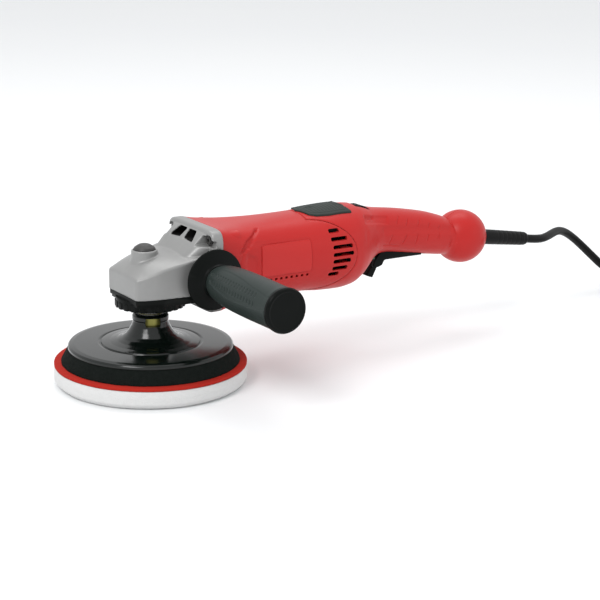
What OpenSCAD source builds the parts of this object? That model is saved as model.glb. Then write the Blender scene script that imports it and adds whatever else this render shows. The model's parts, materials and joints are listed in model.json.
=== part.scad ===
// Rotary polisher: a right-angle car polisher with a foam pad on a hook-and-loop backing plate.
// Origin: centre of the pad's working face, on the spindle's axis. Millimetres.
// +Z runs up the spindle, +X towards the rear handle, -Y towards the side handle.

/* [Pad] */
// Diameter of the foam pad and its hook disc
pad_d = 160; // [156:1:164]
// Thickness of the white foam
pad_t = 15.6; // [15:0.1:15.8]
// Rim diameter of the moulded backing plate
plate_d = 137; // [132:1:140]

/* [Body] */
// Height of the motor's axis above the pad's working face
axis_h = 94; // [93.5:0.1:94.5]
// Wall thickness of the moulded shells
wall = 3; // [2.4:0.1:3.2]
// Radius of the ball at the end of the rear handle
ball_r = 24.4; // [24:0.1:25]

/* [Gears] */
// Teeth of the bevel gear on the spindle, a multiple of three
bevel_teeth = 27; // [27:9:27]
// Module of the bevel pair at its outer end
bevel_module = 1.5; // [1.5:0.1:1.5]
// Module of the planetary stage
planet_module = 0.9; // [0.9:0.1:0.9]

/* [Side handle] */
// Distance from the spindle's axis plane to the far end of the side handle
side_reach = 151.5; // [145:0.5:155]
// Radius of the side handle's stud, M8
stud_r = 3.95; // [3.9:0.05:3.95]

/* [Cord] */
// Diameter of the supply cord
cord_d = 8; // [7.5:0.1:8.5]
// Mean diameter of the stored coil's turns
coil_d = 100; // [90:1:110]

/* [Hidden] */

$fn = 64;
eps = 0.05;
ring_sides = 32;

// Heights of the pad stack
hook_top = pad_t + 2.8;
cushion_top = 30;
hub_top = 59;
insert_r = 10.6;
// Heights of the gear case
base_z = axis_h - 17;
chamber_top = axis_h - 3.5;
chamber_r = 22.3;
lower_bearing_z = base_z - 7.5;
plate_z = base_z - 12.7;
// Fore and aft places along the motor's axis
flange_x = 47.5;
pinion_bearing_x = 24;
planet_x = 38;
planet_len = 8;
bracket_x = 48;
fan_x = 62;
core_x = 85;
core_len = 50;
commutator_x = 150;
rear_bearing_x = 170;
// Where the motor housing meets the handle shells: a line with an arched bulge behind it
parting_x = 140;
parting_run = 42;
parting_rise = 31;
// Side handle's axis
side_x = 37;
side_z = axis_h - 3;
side_face = 39.5;
// Lock button's boss, and the radius at which its pin meets the gear
boss_x = -5;
boss_r = 10.5;
boss_top = axis_h + 18.5;
cap_r = 9.1;
lock_r = 10.5;
// Speed dial
dial_x = 205;
dial_z = axis_h + 24.5;
dial_r = 9.5;
// Switch paddle's pivot
pivot_x = 266;
pivot_z = axis_h - 10;
// Lock-off lever's pivot, near the paddle's front end
lever_x = 226;
lever_z = axis_h - 20;
// Ball at the rear, and the cord's way out of it, which slopes down
ball_x = 322;
ball_z = axis_h - 7.8;
exit_slope = 8.5;
exit_from = [344, 0, axis_h - 11];
relief_len = 57;
exit_dir = [cos(exit_slope), 0, -sin(exit_slope)];
exit_at = exit_from + relief_len * exit_dir;

// Sections of the red body: place along X, half width, height above and below the motor's axis,
// and squareness, where 2 is an ellipse and 8 nearly a rectangle
BODY = concat([
    [47.5, 36.5, 34, 34, 8],
    [60, 36.5, 34, 34.3, 7],
    [78, 36.3, 34.5, 34.8, 5],
    [98, 36.2, 35, 35, 3.6],
    [118, 36.4, 35.5, 35.2, 2.8],
    [138, 36.7, 36, 36, 2.4],
    [156, 36.9, 36.5, 36.8, 2.2],
    [176, 36.8, 36.5, 37, 2.2],
    [188, 35.4, 36.3, 36.2, 2.2],
    [197, 33, 35.4, 34.4, 2.2],
    [205, 30.5, 32.3, 31.2, 2.2],
    [212, 28, 29.2, 26.5, 2.2],
    [218, 25, 28.4, 21, 2.2],
    [224, 22.3, 28, 14, 2.2],
    [230, 20.8, 27.6, 11.5, 2.2],
    [245, 19.6, 25.8, 13.8, 2.2],
    [262, 19.2, 23, 16.5, 2.2],
    [278, 18.8, 19.8, 19, 2.2],
    [292, 17.9, 15.8, 21, 2.2],
    [301, 17, 12.6, 22.2, 2.1]],
    [for (t = [-44, -30, -15, 0, 15, 30, 45, 58, 70, 82])
        [ball_x + ball_r * sin(t), ball_r * cos(t), ball_z - axis_h + ball_r * cos(t),
         axis_h - ball_z + ball_r * cos(t), 2]]);

// Sections of the cast gear head, in the same form
HEAD = [
    [-25.5, 22, -0.5, 30, 6],
    [-22, 27.5, 1.5, 30, 6],
    [-15, 33, 4.5, 30, 6],
    [-4, 35, 8, 30, 6],
    [10, 35, 12.5, 30, 6],
    [20, 34.5, 16.5, 30, 5.5],
    [27, 33.5, 21.5, 30, 5],
    [34, 34, 29, 32, 5],
    [38.5, 36.5, 34, 34, 8],
    [47.5, 36.5, 34, 34, 8]];

// Screw places: handle shells (x, height over the axis, seat), and flange corners
HANDLE_SCREWS = [[192, -26, 19], [222, 19.5, 14], [268, 11, 12.5], [292, 4, 12], [322, 7, 14]];
FLANGE_Y = 29.5;
FLANGE_Z = 27;

// Vent slots in the side of the drum: height over the axis, first and last place along X
VENTS = [[22, 154, 165], [15, 155, 172], [8, 157, 177], [1.5, 157, 178], [-4.5, 157, 175],
    [-10.5, 156.5, 172], [-15.5, 153.5, 164]];
vent_h = 3.3;

// Cord's route from the strain relief to the coil, and the coil's place
coil_at = [578, -66];
coil_lift = 1.2;
coil_w = 4 * cord_d;
coil_h = 3 * cord_d;
ROUTE = concat([exit_at, exit_at + 12 * exit_dir], [
    [424, 2.5, 71.4], [436, 8, 71], [448, 15, 70.8], [460, 22, 70.3], [472, 28, 68], [484, 32, 63],
    [496, 34, 55.5], [508, 34, 46], [519, 32, 36], [530, 29, 26], [542, 24.5, 17], [555, 18.5, 10.5],
    [568, 12.5, 6.5], [580.5, 6.5, 5.2], [593, 0.5, 5.2]]);

function sgn_pow(v, e) = sign(v) * pow(abs(v), e);

// One closed ring of points round a section, set in from it by inset
function section_ring(s, inset) =
    let (mid = axis_h + (s[2] - s[3]) / 2, half = (s[2] + s[3]) / 2 - inset, wide = s[1] - inset)
    [for (i = [0 : ring_sides - 1])
        let (t = 360 * i / ring_sides)
        [s[0], wide * sgn_pow(cos(t), 2 / s[4]), mid + half * sgn_pow(sin(t), 2 / s[4])]];

function rings_between(list, from, to, inset) =
    [for (s = list) if (s[0] >= from && s[0] <= to) section_ring(s, inset)];

function moved(ring, dx) = [for (p = ring) p + [dx, 0, 0]];

// Solid through a list of rings that have equal numbers of points
module loft(rings) {
    n = len(rings[0]);
    m = len(rings);
    polyhedron(
        points = [for (r = rings) each r],
        faces = concat(
            [[for (i = [0 : n - 1]) i]],
            [[for (i = [n - 1 : -1 : 0]) (m - 1) * n + i]],
            [for (j = [0 : m - 2]) for (i = [0 : n - 1]) for (half = [0, 1])
                let (a = j * n + i, b = a + n, c = (j + 1) * n + (i + 1) % n, d = c - n)
                half == 0 ? [a, b, c] : [a, c, d]]));
}

// The same, with its first and last rings drawn out along X, to cut clean through an open end
module open_loft(rings) {
    loft(concat([moved(rings[0], -1)], rings, [moved(rings[len(rings) - 1], 1)]));
}

module bar_x(x0, x1, y, z, r) {
    translate([x0, y, z]) rotate([0, 90, 0]) cylinder(h = x1 - x0, r = r);
}

module bar_y(x, z, y0, y1, r) {
    translate([x, y0, z]) rotate([-90, 0, 0]) cylinder(h = y1 - y0, r = r);
}

module bar_z(x, y, z0, z1, r) {
    translate([x, y, z0]) cylinder(h = z1 - z0, r = r);
}

module tube_x(x0, x1, r_out, r_in) {
    difference() {
        bar_x(x0, x1, 0, axis_h, r_out);
        bar_x(x0 - 1, x1 + 1, 0, axis_h, r_in);
    }
}

module tube_z(z0, z1, r_out, r_in) {
    difference() {
        bar_z(0, 0, z0, z1, r_out);
        bar_z(0, 0, z0 - 1, z1 + 1, r_in);
    }
}

// Box given by its lowest and highest corners
module block(low, high) {
    translate(low) cube(high - low);
}

// Flat outline in X and Z, made into a slab from y0 to y1
module slab_xz(y0, y1) {
    translate([0, y1, 0]) rotate([90, 0, 0]) linear_extrude(y1 - y0) children();
}

// Flat outline in Y and Z, made into a slab from x0 to x1
module slab_yz(x0, x1) {
    translate([x0, 0, 0]) rotate([90, 0, 90]) linear_extrude(x1 - x0) children();
}

// ---- Gears ----

pressure = 25;
function involute(r, rb) = r <= rb ? 0 : tan(acos(rb / r)) * 180 / PI - acos(rb / r);

// Radius and angle of the points round one tooth that is centred on angle 0.
// slack is taken off the tooth's width, so that a meshed pair has backlash.
function tooth(teeth, r, m, add, ded, slack) =
    let (rb = r * cos(pressure), root = r - ded * m, tip = r + add * m,
        at_pitch = 90 / teeth + involute(r, rb) - slack / r * 90 / PI,
        radii = [root, max(root + 0.02, min(rb, r - 0.1 * m)), (r + max(root, rb)) / 2, r,
            (r + tip) / 2, tip])
    concat(
        [for (i = [0 : 5]) [radii[i], -(at_pitch - involute(radii[i], rb))]],
        [for (i = [5 : -1 : 0]) [radii[i], at_pitch - involute(radii[i], rb)]]);

module spur_outline(teeth, m, add, ded, slack) {
    r = teeth * m / 2;
    shape = tooth(teeth, r, m, add, ded, slack);
    polygon([for (k = [0 : teeth - 1]) for (p = shape)
        p[0] * [cos(p[1] + 360 * k / teeth), sin(p[1] + 360 * k / teeth)]]);
}

// Bevel teeth with the apex at the origin and the axis along +Z. cone is the pitch cone's angle.
module bevel_teeth_solid(teeth, m, cone, face_share, add, ded, slack, heel_at, toe_at) {
    r = teeth * m / 2;
    rv = r / cos(cone);
    shape = tooth(teeth / cos(cone), rv, m, add, ded, slack);
    loop = [for (k = [0 : teeth - 1]) for (p = shape)
        let (a = p[1] / cos(cone) + 360 * k / teeth, out = r + (p[0] - rv) * cos(cone))
        [out * cos(a), out * sin(a), r / tan(cone) - (p[0] - rv) * sin(cone)]];
    n = len(loop);
    polyhedron(
        points = concat(loop, [for (p = loop) p * (1 - face_share)], [[0, 0, heel_at], [0, 0, toe_at]]),
        faces = [for (i = [0 : n - 1]) for (side = [0 : 3])
            let (j = (i + 1) % n)
            side == 0 ? [i, j, j + n] : side == 1 ? [i, j + n, i + n]
                : side == 2 ? [j, i, 2 * n] : [i + n, j + n, 2 * n + 1]]);
}

pinion_teeth = bevel_teeth / 3;
pinion_cone = atan(1 / 3);
gear_cone = 90 - pinion_cone;
face_share = 0.33;
sun_teeth = 12;
planet_teeth = 12;
ring_teeth = 36;
planet_orbit = (sun_teeth + planet_teeth) * planet_module / 2;

// ---- Gear case ----

// Places of the four screws that hold the bearing plate
module plate_screw_places() {
    for (a = [45, 135, 225, 315]) rotate([0, 0, a]) translate([24.6, 0, 0]) children();
}

module gear_head() {
    color("lightgray") difference() {
        union() {
            loft([for (s = HEAD) section_ring(s, 0)]);
            bar_z(boss_x, 0, axis_h, boss_top, boss_r);
            for (y = [-side_face, 22])
                bar_y(side_x, side_z, y, y + side_face - 22, 10);
        }
        block([-40, -50, 0], [29, 50, base_z]);
        bar_z(0, 0, base_z - 1, chamber_top, chamber_r);
        // Pinion's tunnel, its bearing, and the planetary stage
        bar_x(9, 25, 0, axis_h, 9.6);
        bar_x(pinion_bearing_x, 31, 0, axis_h, 11);
        bar_x(30, 34, 0, axis_h, 7);
        bar_x(33, flange_x + 1, 0, axis_h, 21);
        // Spindle's upper bearing, and the lock button's well and pin hole
        bar_z(0, 0, chamber_top - 1, axis_h + 8, 6.5);
        bar_z(boss_x, 0, axis_h + 10, boss_top + 1, cap_r + 0.3);
        bar_z(-lock_r, 0, chamber_top - 1, boss_top, 2.3);
        plate_screw_places() bar_z(0, 0, base_z - 1, base_z + 6.5, 1.6);
        // Side handle's threads
        for (y = [-side_face - 1, 25])
            bar_y(side_x, side_z, y, y + side_face - 24, stud_r + 0.05);
        // Cooling windows through the top of the bell
        for (side = [-1, 1])
            block([24, side * 10.5 - 7, axis_h + 21.5], [35, side * 10.5 + 7, axis_h + 40]);
        // Screw pockets and holes in the flange's corners
        for (y = [-FLANGE_Y, FLANGE_Y]) for (z = [-FLANGE_Z, FLANGE_Z]) {
            bar_x(24, 41.5, y, axis_h + z, 4.6);
            bar_x(40, flange_x + 1, y, axis_h + z, 2.1);
        }
    }
}

module gear_case_screws() {
    color("dimgray") {
        for (y = [-FLANGE_Y, FLANGE_Y]) for (z = [-FLANGE_Z, FLANGE_Z]) difference() {
            union() {
                bar_x(38, 41.5, y, axis_h + z, 3.6);
                bar_x(41, 64, y, axis_h + z, 2);
            }
            bar_x(37, 39.5, y, axis_h + z, 1.6, $fn = 6);
        }
        plate_screw_places() {
            bar_z(0, 0, plate_z + 1.5, plate_z + 4, 3);
            bar_z(0, 0, plate_z + 3.5, base_z + 6, 1.6);
        }
    }
}

// Plan outline of the gear head's base, a squarish ring round the spindle
function base_outline(long, wide) =
    [for (i = [0 : 47]) [1.5 + long * sgn_pow(cos(7.5 * i), 0.5), wide * sgn_pow(sin(7.5 * i), 0.5)]];

module bearing_plate() {
    color([0.13, 0.13, 0.14]) difference() {
        union() {
            translate([0, 0, base_z - 5]) linear_extrude(5) polygon(base_outline(26.8, 33));
            bar_z(0, 0, plate_z, base_z - 1, 28.5);
        }
        bar_z(0, 0, plate_z - 1, base_z + 1, 9);
        bar_z(0, 0, lower_bearing_z, base_z + 1, 14);
        plate_screw_places() {
            bar_z(0, 0, plate_z - 1, plate_z + 4, 3.2);
            bar_z(0, 0, plate_z, base_z + 1, 1.8);
        }
    }
}

module spindle_bearing_outer() {
    color("silver") {
        tube_z(lower_bearing_z, lower_bearing_z + 8, 14, 11.4);
        tube_z(chamber_top, axis_h + 7.5, 6.5, 5.1);
    }
}

module shaft_bearing_outer() {
    color("silver") {
        tube_x(pinion_bearing_x, pinion_bearing_x + 7, 11, 8.6);
        tube_x(bracket_x + 1, bracket_x + 9, 14, 11.2);
        tube_x(rear_bearing_x, rear_bearing_x + 7, 11, 8.6);
    }
}

module ring_gear() {
    color("slategray") difference() {
        bar_x(planet_x - 0.5, flange_x, 0, axis_h, 21);
        translate([0, 0, axis_h]) slab_yz(planet_x - 1, flange_x + 1) rotate([0, 0, 180 / ring_teeth])
            spur_outline(ring_teeth, planet_module, 1.15, 0.8, -0.14);
    }
}

// ---- Spindle lock ----

module lock_button() {
    color([0.1, 0.1, 0.11]) difference() {
        union() {
            bar_z(boss_x, 0, axis_h + 15.4, boss_top + 1.2, cap_r);
            translate([boss_x, 0, boss_top - 20.8]) intersection() {
                translate([0, 0, 1]) sphere(r = 24.2, $fn = 96);
                translate([0, 0, 21.5]) cylinder(h = 5, r = cap_r);
            }
        }
        bar_z(-lock_r, 0, axis_h + 14, axis_h + 18, 1.95);
    }
}

module lock_pin() {
    color("silver") bar_z(-lock_r, 0, axis_h - 3.8, axis_h + 18, 1.9);
}

module lock_spring() {
    color("gray") difference() {
        bar_z(boss_x + 3, 0, axis_h + 10, axis_h + 15.3, 4);
        bar_z(boss_x + 3, 0, axis_h + 9, axis_h + 16, 3);
    }
}

// ---- Spindle and pad ----

module spindle() {
    color("silver") {
        bar_z(0, 0, cushion_top + 6, hub_top + 0.2, 6.95);
        bar_z(0, 0, hub_top + 0.1, lower_bearing_z, 8.5);
        bar_z(0, 0, lower_bearing_z - 0.5, chamber_top - 0.5, 6);
        bar_z(0, 0, chamber_top - 1, axis_h + 7, 3.5);
    }
}

module spindle_bearing_inner() {
    color("gainsboro") {
        tube_z(lower_bearing_z, lower_bearing_z + 8, 8.6, 6);
        tube_z(chamber_top, axis_h + 7, 4.9, 3.5);
    }
}

module bevel_gear() {
    color("slategray") difference() {
        union() {
            translate([0, 0, axis_h]) rotate([180, 0, 0])
                bevel_teeth_solid(bevel_teeth, bevel_module, gear_cone, face_share, 0.75, 1.3, 0.22, 12, 8.8);
            bar_z(0, 0, axis_h - 14, axis_h - 9.2, 19.2);
            bar_z(0, 0, base_z + 0.8, axis_h - 5.6, 8);
        }
        bar_z(0, 0, base_z - 1, axis_h, 6);
        for (a = [0, 90, 180, 270]) rotate([0, 0, a]) bar_z(lock_r, 0, base_z, axis_h, 2.3);
    }
}

module hub_insert() {
    color("goldenrod") tube_z(cushion_top, hub_top, insert_r, 6.95);
}

module backing_plate() {
    color([0.09, 0.09, 0.1]) difference() {
        rotate_extrude($fn = 128) polygon([
            [insert_r, cushion_top], [plate_d / 2, cushion_top], [plate_d / 2, 31.8], [plate_d / 2 - 1.2, 33.4],
            [plate_d / 2 - 4, 34], [43, 34.6], [42.2, 33.8], [41.2, 33.8], [40.6, 34.9], [34, 35.6], [28, 36.8],
            [23.6, 38.6], [20.5, 41.2], [18, 44.6], [15.8, 48.6], [14.7, 52], [15.1, 53.2], [15.1, 56.6],
            [13.6, hub_top], [insert_r, hub_top]]);
        // Spanner windows through the neck
        for (a = [71, 251]) rotate([0, 0, a]) block([5, -6.2, 50], [40, 6.2, 56.6]);
    }
}

module cushion_foam() {
    color([0.12, 0.12, 0.12]) rotate_extrude($fn = 128) polygon([
        [12, hook_top], [74.4, hook_top], [73.9, hook_top + 1.2], [68.7, cushion_top - 0.8],
        [67.8, cushion_top], [12, cushion_top]]);
}

module hook_disc() {
    color([0.8, 0.12, 0.1]) tube_z(pad_t, hook_top, pad_d / 2, 12, $fn = 128);
}

module polishing_pad() {
    edge = 4;
    color("white") rotate_extrude($fn = 128) polygon(concat(
        [[0, 0]],
        [for (t = [-90 : 15 : 0]) [pad_d / 2 - edge + edge * cos(t), edge + edge * sin(t)]],
        [[pad_d / 2, pad_t], [0, pad_t]]));
}

// ---- Motor ----

module armature_shaft() {
    color("silver") {
        translate([0, 0, axis_h]) slab_yz(planet_x - 0.6, planet_x + planet_len)
            spur_outline(sun_teeth, planet_module, 0.85, 1.2, 0.14);
        bar_x(planet_x + planet_len - 0.1, bracket_x + 1, 0, axis_h, 4.2);
        bar_x(bracket_x + 0.9, rear_bearing_x, 0, axis_h, 6);
        bar_x(rear_bearing_x - 0.1, rear_bearing_x + 8, 0, axis_h, 4);
    }
}

module armature_bearing_inner() {
    color("gainsboro") {
        tube_x(bracket_x + 1, bracket_x + 9, 8.4, 6);
        tube_x(rear_bearing_x, rear_bearing_x + 7, 6.2, 4);
    }
}

module armature_core() {
    color("gray") difference() {
        bar_x(core_x, core_x + core_len, 0, axis_h, 18);
        bar_x(core_x - 1, core_x + core_len + 1, 0, axis_h, 6);
        for (k = [0 : 11]) translate([0, 0, axis_h]) rotate([30 * k, 0, 0])
            block([core_x - 1, -1, 14], [core_x + core_len + 1, 1, 19]);
    }
}

module armature_windings() {
    color("peru") {
        tube_x(core_x - 8, core_x, 16, 6);
        tube_x(core_x + core_len, core_x + core_len + 9, 16, 6);
    }
}

module commutator() {
    color("chocolate") difference() {
        bar_x(commutator_x - 4, commutator_x + 14, 0, axis_h, 12.5);
        bar_x(commutator_x - 5, commutator_x + 15, 0, axis_h, 6);
        for (k = [0 : 23]) translate([0, 0, axis_h]) rotate([15 * k, 0, 0])
            block([commutator_x - 2, -0.3, 11.6], [commutator_x + 15, 0.3, 13]);
    }
}

module fan() {
    color([0.2, 0.2, 0.2]) difference() {
        union() {
            bar_x(fan_x, fan_x + 2, 0, axis_h, 31);
            bar_x(fan_x, fan_x + 9, 0, axis_h, 11);
            for (k = [0 : 11]) translate([0, 0, axis_h]) rotate([30 * k, 0, 0])
                block([fan_x + 1, -0.9, 13], [fan_x + 9, 0.9, 30.5]);
        }
        bar_x(fan_x - 1, fan_x + 10, 0, axis_h, 6);
    }
}

// Space for the field windings, left and right between the two poles, less a gap all round
module winding_space(gap, past) {
    for (y = [-1, 1])
        block([core_x - past, y * 23.8 - 4.5 + gap, axis_h - 10 + gap],
            [core_x + core_len + past, y * 23.8 + 4.5 - gap, axis_h + 10 - gap]);
}

module stator_core() {
    color("darkgray") difference() {
        tube_x(core_x, core_x + core_len, 31, 19);
        winding_space(0, 1);
    }
}

module stator_windings() {
    color("peru") winding_space(0.2, 8);
}

module fan_baffle() {
    color([0.15, 0.15, 0.15]) tube_x(fan_x + 11, fan_x + 13.5, 31, 23);
}

module bearing_bracket() {
    color("darkgray") difference() {
        union() {
            bar_x(bracket_x, bracket_x + 3, 0, axis_h, 30);
            bar_x(bracket_x, bracket_x + 9, 0, axis_h, 17);
        }
        bar_x(bracket_x - 1, bracket_x + 2, 0, axis_h, 7.5);
        bar_x(bracket_x + 1, bracket_x + 10, 0, axis_h, 14);
        for (a = [45, 135, 225, 315]) translate([0, 0, axis_h]) rotate([a, 0, 0])
            bar_x(bracket_x - 1, bracket_x + 4, 0, 23.5, 4.5);
    }
}

module brush_holders() {
    color("goldenrod") for (y = [-1, 1]) difference() {
        block([commutator_x, min(y * 14.5, y * 31), axis_h - 5], [commutator_x + 10, max(y * 14.5, y * 31), axis_h + 5]);
        block([commutator_x + 1.9, min(y * 14, y * 30), axis_h - 3.1], [commutator_x + 8.1, max(y * 14, y * 30), axis_h + 3.1]);
    }
}

module carbon_brushes() {
    color([0.15, 0.15, 0.15]) for (y = [-1, 1])
        block([commutator_x + 2, min(y * 12.8, y * 24), axis_h - 3], [commutator_x + 8, max(y * 12.8, y * 24), axis_h + 3]);
}

module brush_springs() {
    color("silver") for (y = [-1, 1])
        bar_y(commutator_x + 5, axis_h, min(y * 24, y * 30), max(y * 24, y * 30), 2.4);
}

// ---- Planetary stage ----

module planet_gear(k) {
    a = 90 + 120 * k;
    translate([0, planet_orbit * cos(a), axis_h + planet_orbit * sin(a)]) difference() {
        slab_yz(planet_x, planet_x + planet_len) rotate([0, 0, 15])
            spur_outline(planet_teeth, planet_module, 0.85, 1.2, 0.14);
        bar_x(planet_x - 1, planet_x + planet_len + 1, 0, 0, 2.05);
    }
}

module planet_1() { color("silver") planet_gear(0); }
module planet_2() { color("silver") planet_gear(1); }
module planet_3() { color("silver") planet_gear(2); }

module carrier() {
    color("slategray") {
        translate([0, 0, axis_h]) rotate([90, 0, 90]) rotate([0, 0, -70])
            bevel_teeth_solid(pinion_teeth, bevel_module, pinion_cone, face_share, 0.95, 1.1, 0.22, 21.5, 12.5);
        bar_x(19, pinion_bearing_x + 7.2, 0, axis_h, 4);
        bar_x(pinion_bearing_x + 7, 33.5, 0, axis_h, 5);
        bar_x(33.4, planet_x - 0.9, 0, axis_h, 15.5);
        for (k = [0 : 2])
            bar_x(planet_x - 2, planet_x + planet_len, planet_orbit * cos(90 + 120 * k),
                axis_h + planet_orbit * sin(90 + 120 * k), 2);
    }
}

module carrier_bearing_inner() {
    color("gainsboro") tube_x(pinion_bearing_x, pinion_bearing_x + 7, 6.2, 4);
}

// ---- Shells ----

// Side view of the space that the motor housing takes: all in front of the line, and the arched bulge
module motor_side_view() {
    polygon(concat(
        [[parting_x, axis_h + 60], [0, axis_h + 60], [0, axis_h - 60], [parting_x, axis_h - 60]],
        [for (t = [-90 : 10 : 90]) [parting_x + parting_run * cos(t), axis_h + parting_rise * sin(t)]]));
}

module motor_housing() {
    color([0.8, 0.2, 0.18]) difference() {
        union() {
            intersection() {
                difference() {
                    loft(rings_between(BODY, 40, 188, 0));
                    open_loft(rings_between(BODY, 40, 188, wall));
                    for (v = VENTS) for (y = [-50, 20])
                        block([v[1], y, axis_h + v[0] - vent_h / 2], [v[2], y + 30, axis_h + v[0] + vent_h / 2]);
                }
                slab_xz(-60, 60) motor_side_view();
            }
            // Bosses for the gear case screws
            intersection() {
                loft(rings_between(BODY, 40, 80, wall / 2));
                for (y = [-FLANGE_Y, FLANGE_Y]) for (z = [-FLANGE_Z, FLANGE_Z])
                    bar_x(flange_x, 66, y, axis_h + z, 5.2);
            }
            // Bridge across the rear end, which holds the rear bearing
            intersection() {
                loft(rings_between(BODY, 138, 188, wall / 2));
                block([rear_bearing_x - 2, -40, axis_h - 7], [rear_bearing_x + 8.5, 40, axis_h + 7]);
            }
            bar_x(rear_bearing_x - 2, rear_bearing_x + 8.5, 0, axis_h, 13.5);
        }
        for (y = [-FLANGE_Y, FLANGE_Y]) for (z = [-FLANGE_Z, FLANGE_Z])
            bar_x(flange_x - 1, 64.5, y, axis_h + z, 2);
        bar_x(rear_bearing_x, rear_bearing_x + 9, 0, axis_h, 11);
        bar_x(rear_bearing_x - 3, rear_bearing_x + 1, 0, axis_h, 9);
    }
}

// Both handle shells before they are split down the middle
module handle_shells() {
    difference() {
        union() {
            difference() {
                loft(rings_between(BODY, 138, 400, 0));
                open_loft(rings_between(BODY, 130, ball_x + 18, wall));
            }
            intersection() {
                loft(rings_between(BODY, 180, ball_x + 18, wall / 2));
                for (s = HANDLE_SCREWS) bar_y(s[0], axis_h + s[1], -40, 40, 4.2);
            }
        }
        slab_xz(-60, 60) motor_side_view();
        // Slots for the speed dial and the paddle, and the cord's way out
        block([dial_x - 10.6, -4.4, axis_h + 10], [dial_x + 10.6, 4.4, axis_h + 50]);
        block([216, -9.6, axis_h - 50], [276, 9.6, axis_h - 3]);
        translate(exit_from - 12 * exit_dir) rotate([0, 90 + exit_slope, 0]) cylinder(h = 30, r = 7);
        bar_y(pivot_x, pivot_z, -12.6, 12.6, 2.2);
    }
}

module handle_left() {
    color([0.78, 0.18, 0.17]) difference() {
        intersection() {
            handle_shells();
            block([100, 0, 0], [400, 60, 200]);
        }
        for (s = HANDLE_SCREWS) {
            bar_y(s[0], axis_h + s[1], -1, 50, 1.9);
            bar_y(s[0], axis_h + s[1], s[2], 50, 3.6);
        }
    }
}

module handle_right() {
    color([0.8, 0.2, 0.18]) difference() {
        intersection() {
            handle_shells();
            block([100, -60, 0], [400, 0, 200]);
        }
        for (s = HANDLE_SCREWS) bar_y(s[0], axis_h + s[1], -12, 1, 1.7);
    }
}

module handle_screws() {
    color("dimgray") for (s = HANDLE_SCREWS) {
        bar_y(s[0], axis_h + s[1], -11.5, s[2] + 0.1, 1.7);
        bar_y(s[0], axis_h + s[1], s[2], s[2] + 2.4, 3.4);
    }
}

module top_grip_pad() {
    color([0.1, 0.12, 0.12]) intersection() {
        difference() {
            loft(rings_between(BODY, 130, 200, -1.4));
            open_loft(rings_between(BODY, 130, 200, 0));
        }
        translate([0, 0, axis_h]) linear_extrude(60)
            polygon([[147, 0], [153, -13], [163, -18], [184, -19], [192, -8],
                [192, 8], [184, 19], [163, 18], [153, 13]]);
    }
}

module badge_plate() {
    color([0.75, 0.2, 0.18]) intersection() {
        difference() {
            loft(rings_between(BODY, 70, 160, -0.5));
            open_loft(rings_between(BODY, 70, 160, 0));
        }
        block([85, -60, axis_h - 9], [135, 0, axis_h + 19]);
    }
}

// ---- Controls ----

module paddle() {
    color([0.08, 0.08, 0.09]) difference() {
        slab_xz(-9, 9) polygon([
            [275.5, axis_h - 20], [232, axis_h - 18.8], [224, axis_h - 25.5], [219.5, axis_h - 23],
            [222.5, axis_h - 16.5], [228, axis_h - 10.5], [234, axis_h - 8], [262, axis_h - 7],
            [270, axis_h - 8], [271, axis_h - 15.5]]);
        bar_y(pivot_x, pivot_z, -10, 10, 2.25);
        bar_y(lever_x, lever_z, -6.7, 6.7, 1.4);
        // Fork for the lock-off lever
        block([218, -5.2, axis_h - 30], [230.2, 5.2, axis_h - 12]);
    }
}

module paddle_pin() {
    color("silver") bar_y(pivot_x, pivot_z, -12.5, 12.5, 2.2);
}

module lock_off_lever() {
    color([0.1, 0.1, 0.11]) {
        slab_xz(-4.8, 4.8) polygon([
            [229, axis_h - 17.5], [229.5, axis_h - 21], [226, axis_h - 26], [223.5, axis_h - 34],
            [217, axis_h - 31.5], [221, axis_h - 25], [222.5, axis_h - 19], [225, axis_h - 16.5]]);
        bar_y(lever_x, lever_z, -6.6, 6.6, 1.35);
    }
}

module switch_body() {
    color([0.2, 0.2, 0.22]) difference() {
        block([232, -10, axis_h - 2.5], [262, 10, axis_h + 15]);
        block([233.4, -3.1, axis_h - 4], [239.6, 3.1, axis_h + 3]);
    }
}

module switch_plunger() {
    color("white") block([233.5, -3, axis_h - 7.6], [239.5, 3, axis_h - 0.8]);
}

module speed_dial() {
    color([0.1, 0.1, 0.11]) difference() {
        union() {
            bar_y(dial_x, dial_z, -3.8, 3.8, dial_r);
            bar_y(dial_x, dial_z, -7, 7, 2);
        }
        for (k = [0 : 23]) translate([dial_x, 0, dial_z]) rotate([0, 15 * k, 0])
            block([-0.5, -5, dial_r - 0.7], [0.5, 5, dial_r + 1]);
    }
}

module speed_module() {
    color("darkgreen") {
        block([188, -14, axis_h - 14], [216, 14, axis_h + 10]);
        for (y = [-7, 5]) difference() {
            block([dial_x - 2.8, y, axis_h + 9.9], [dial_x + 2.8, y + 2, dial_z + 2.8]);
            bar_y(dial_x, dial_z, y - 1, y + 4, 2.1);
        }
    }
}

// ---- Cord ----

module along_exit(from, length) {
    translate(exit_from + from * exit_dir) rotate([0, 90 + exit_slope, 0]) rotate_extrude() children();
}

module strain_relief() {
    color([0.08, 0.08, 0.08]) along_exit(0, relief_len) polygon([
        [cord_d / 2, -14], [9.5, -14], [9.5, -11], [7, -11], [7, 14], [6.3, relief_len - 1.5],
        [5.6, relief_len], [cord_d / 2, relief_len]]);
}

module supply_lead() {
    color([0.1, 0.1, 0.1]) translate(exit_from - 44 * exit_dir) rotate([0, 90 + exit_slope, 0])
        cylinder(h = relief_len + 44, r = cord_d / 2 - 0.02);
}

clamp_at = exit_from - 34 * exit_dir;
module cable_clamp() {
    color([0.25, 0.25, 0.26]) translate(clamp_at) rotate([0, exit_slope, 0]) difference() {
        block([-4, -11, -7], [4, 11, 6.5]);
        rotate([0, 90, 0]) translate([0, 0, -6]) cylinder(h = 12, r = cord_d / 2);
        for (y = [-8, 8]) bar_z(0, y, -8, 8, 1.5);
    }
}

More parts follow.
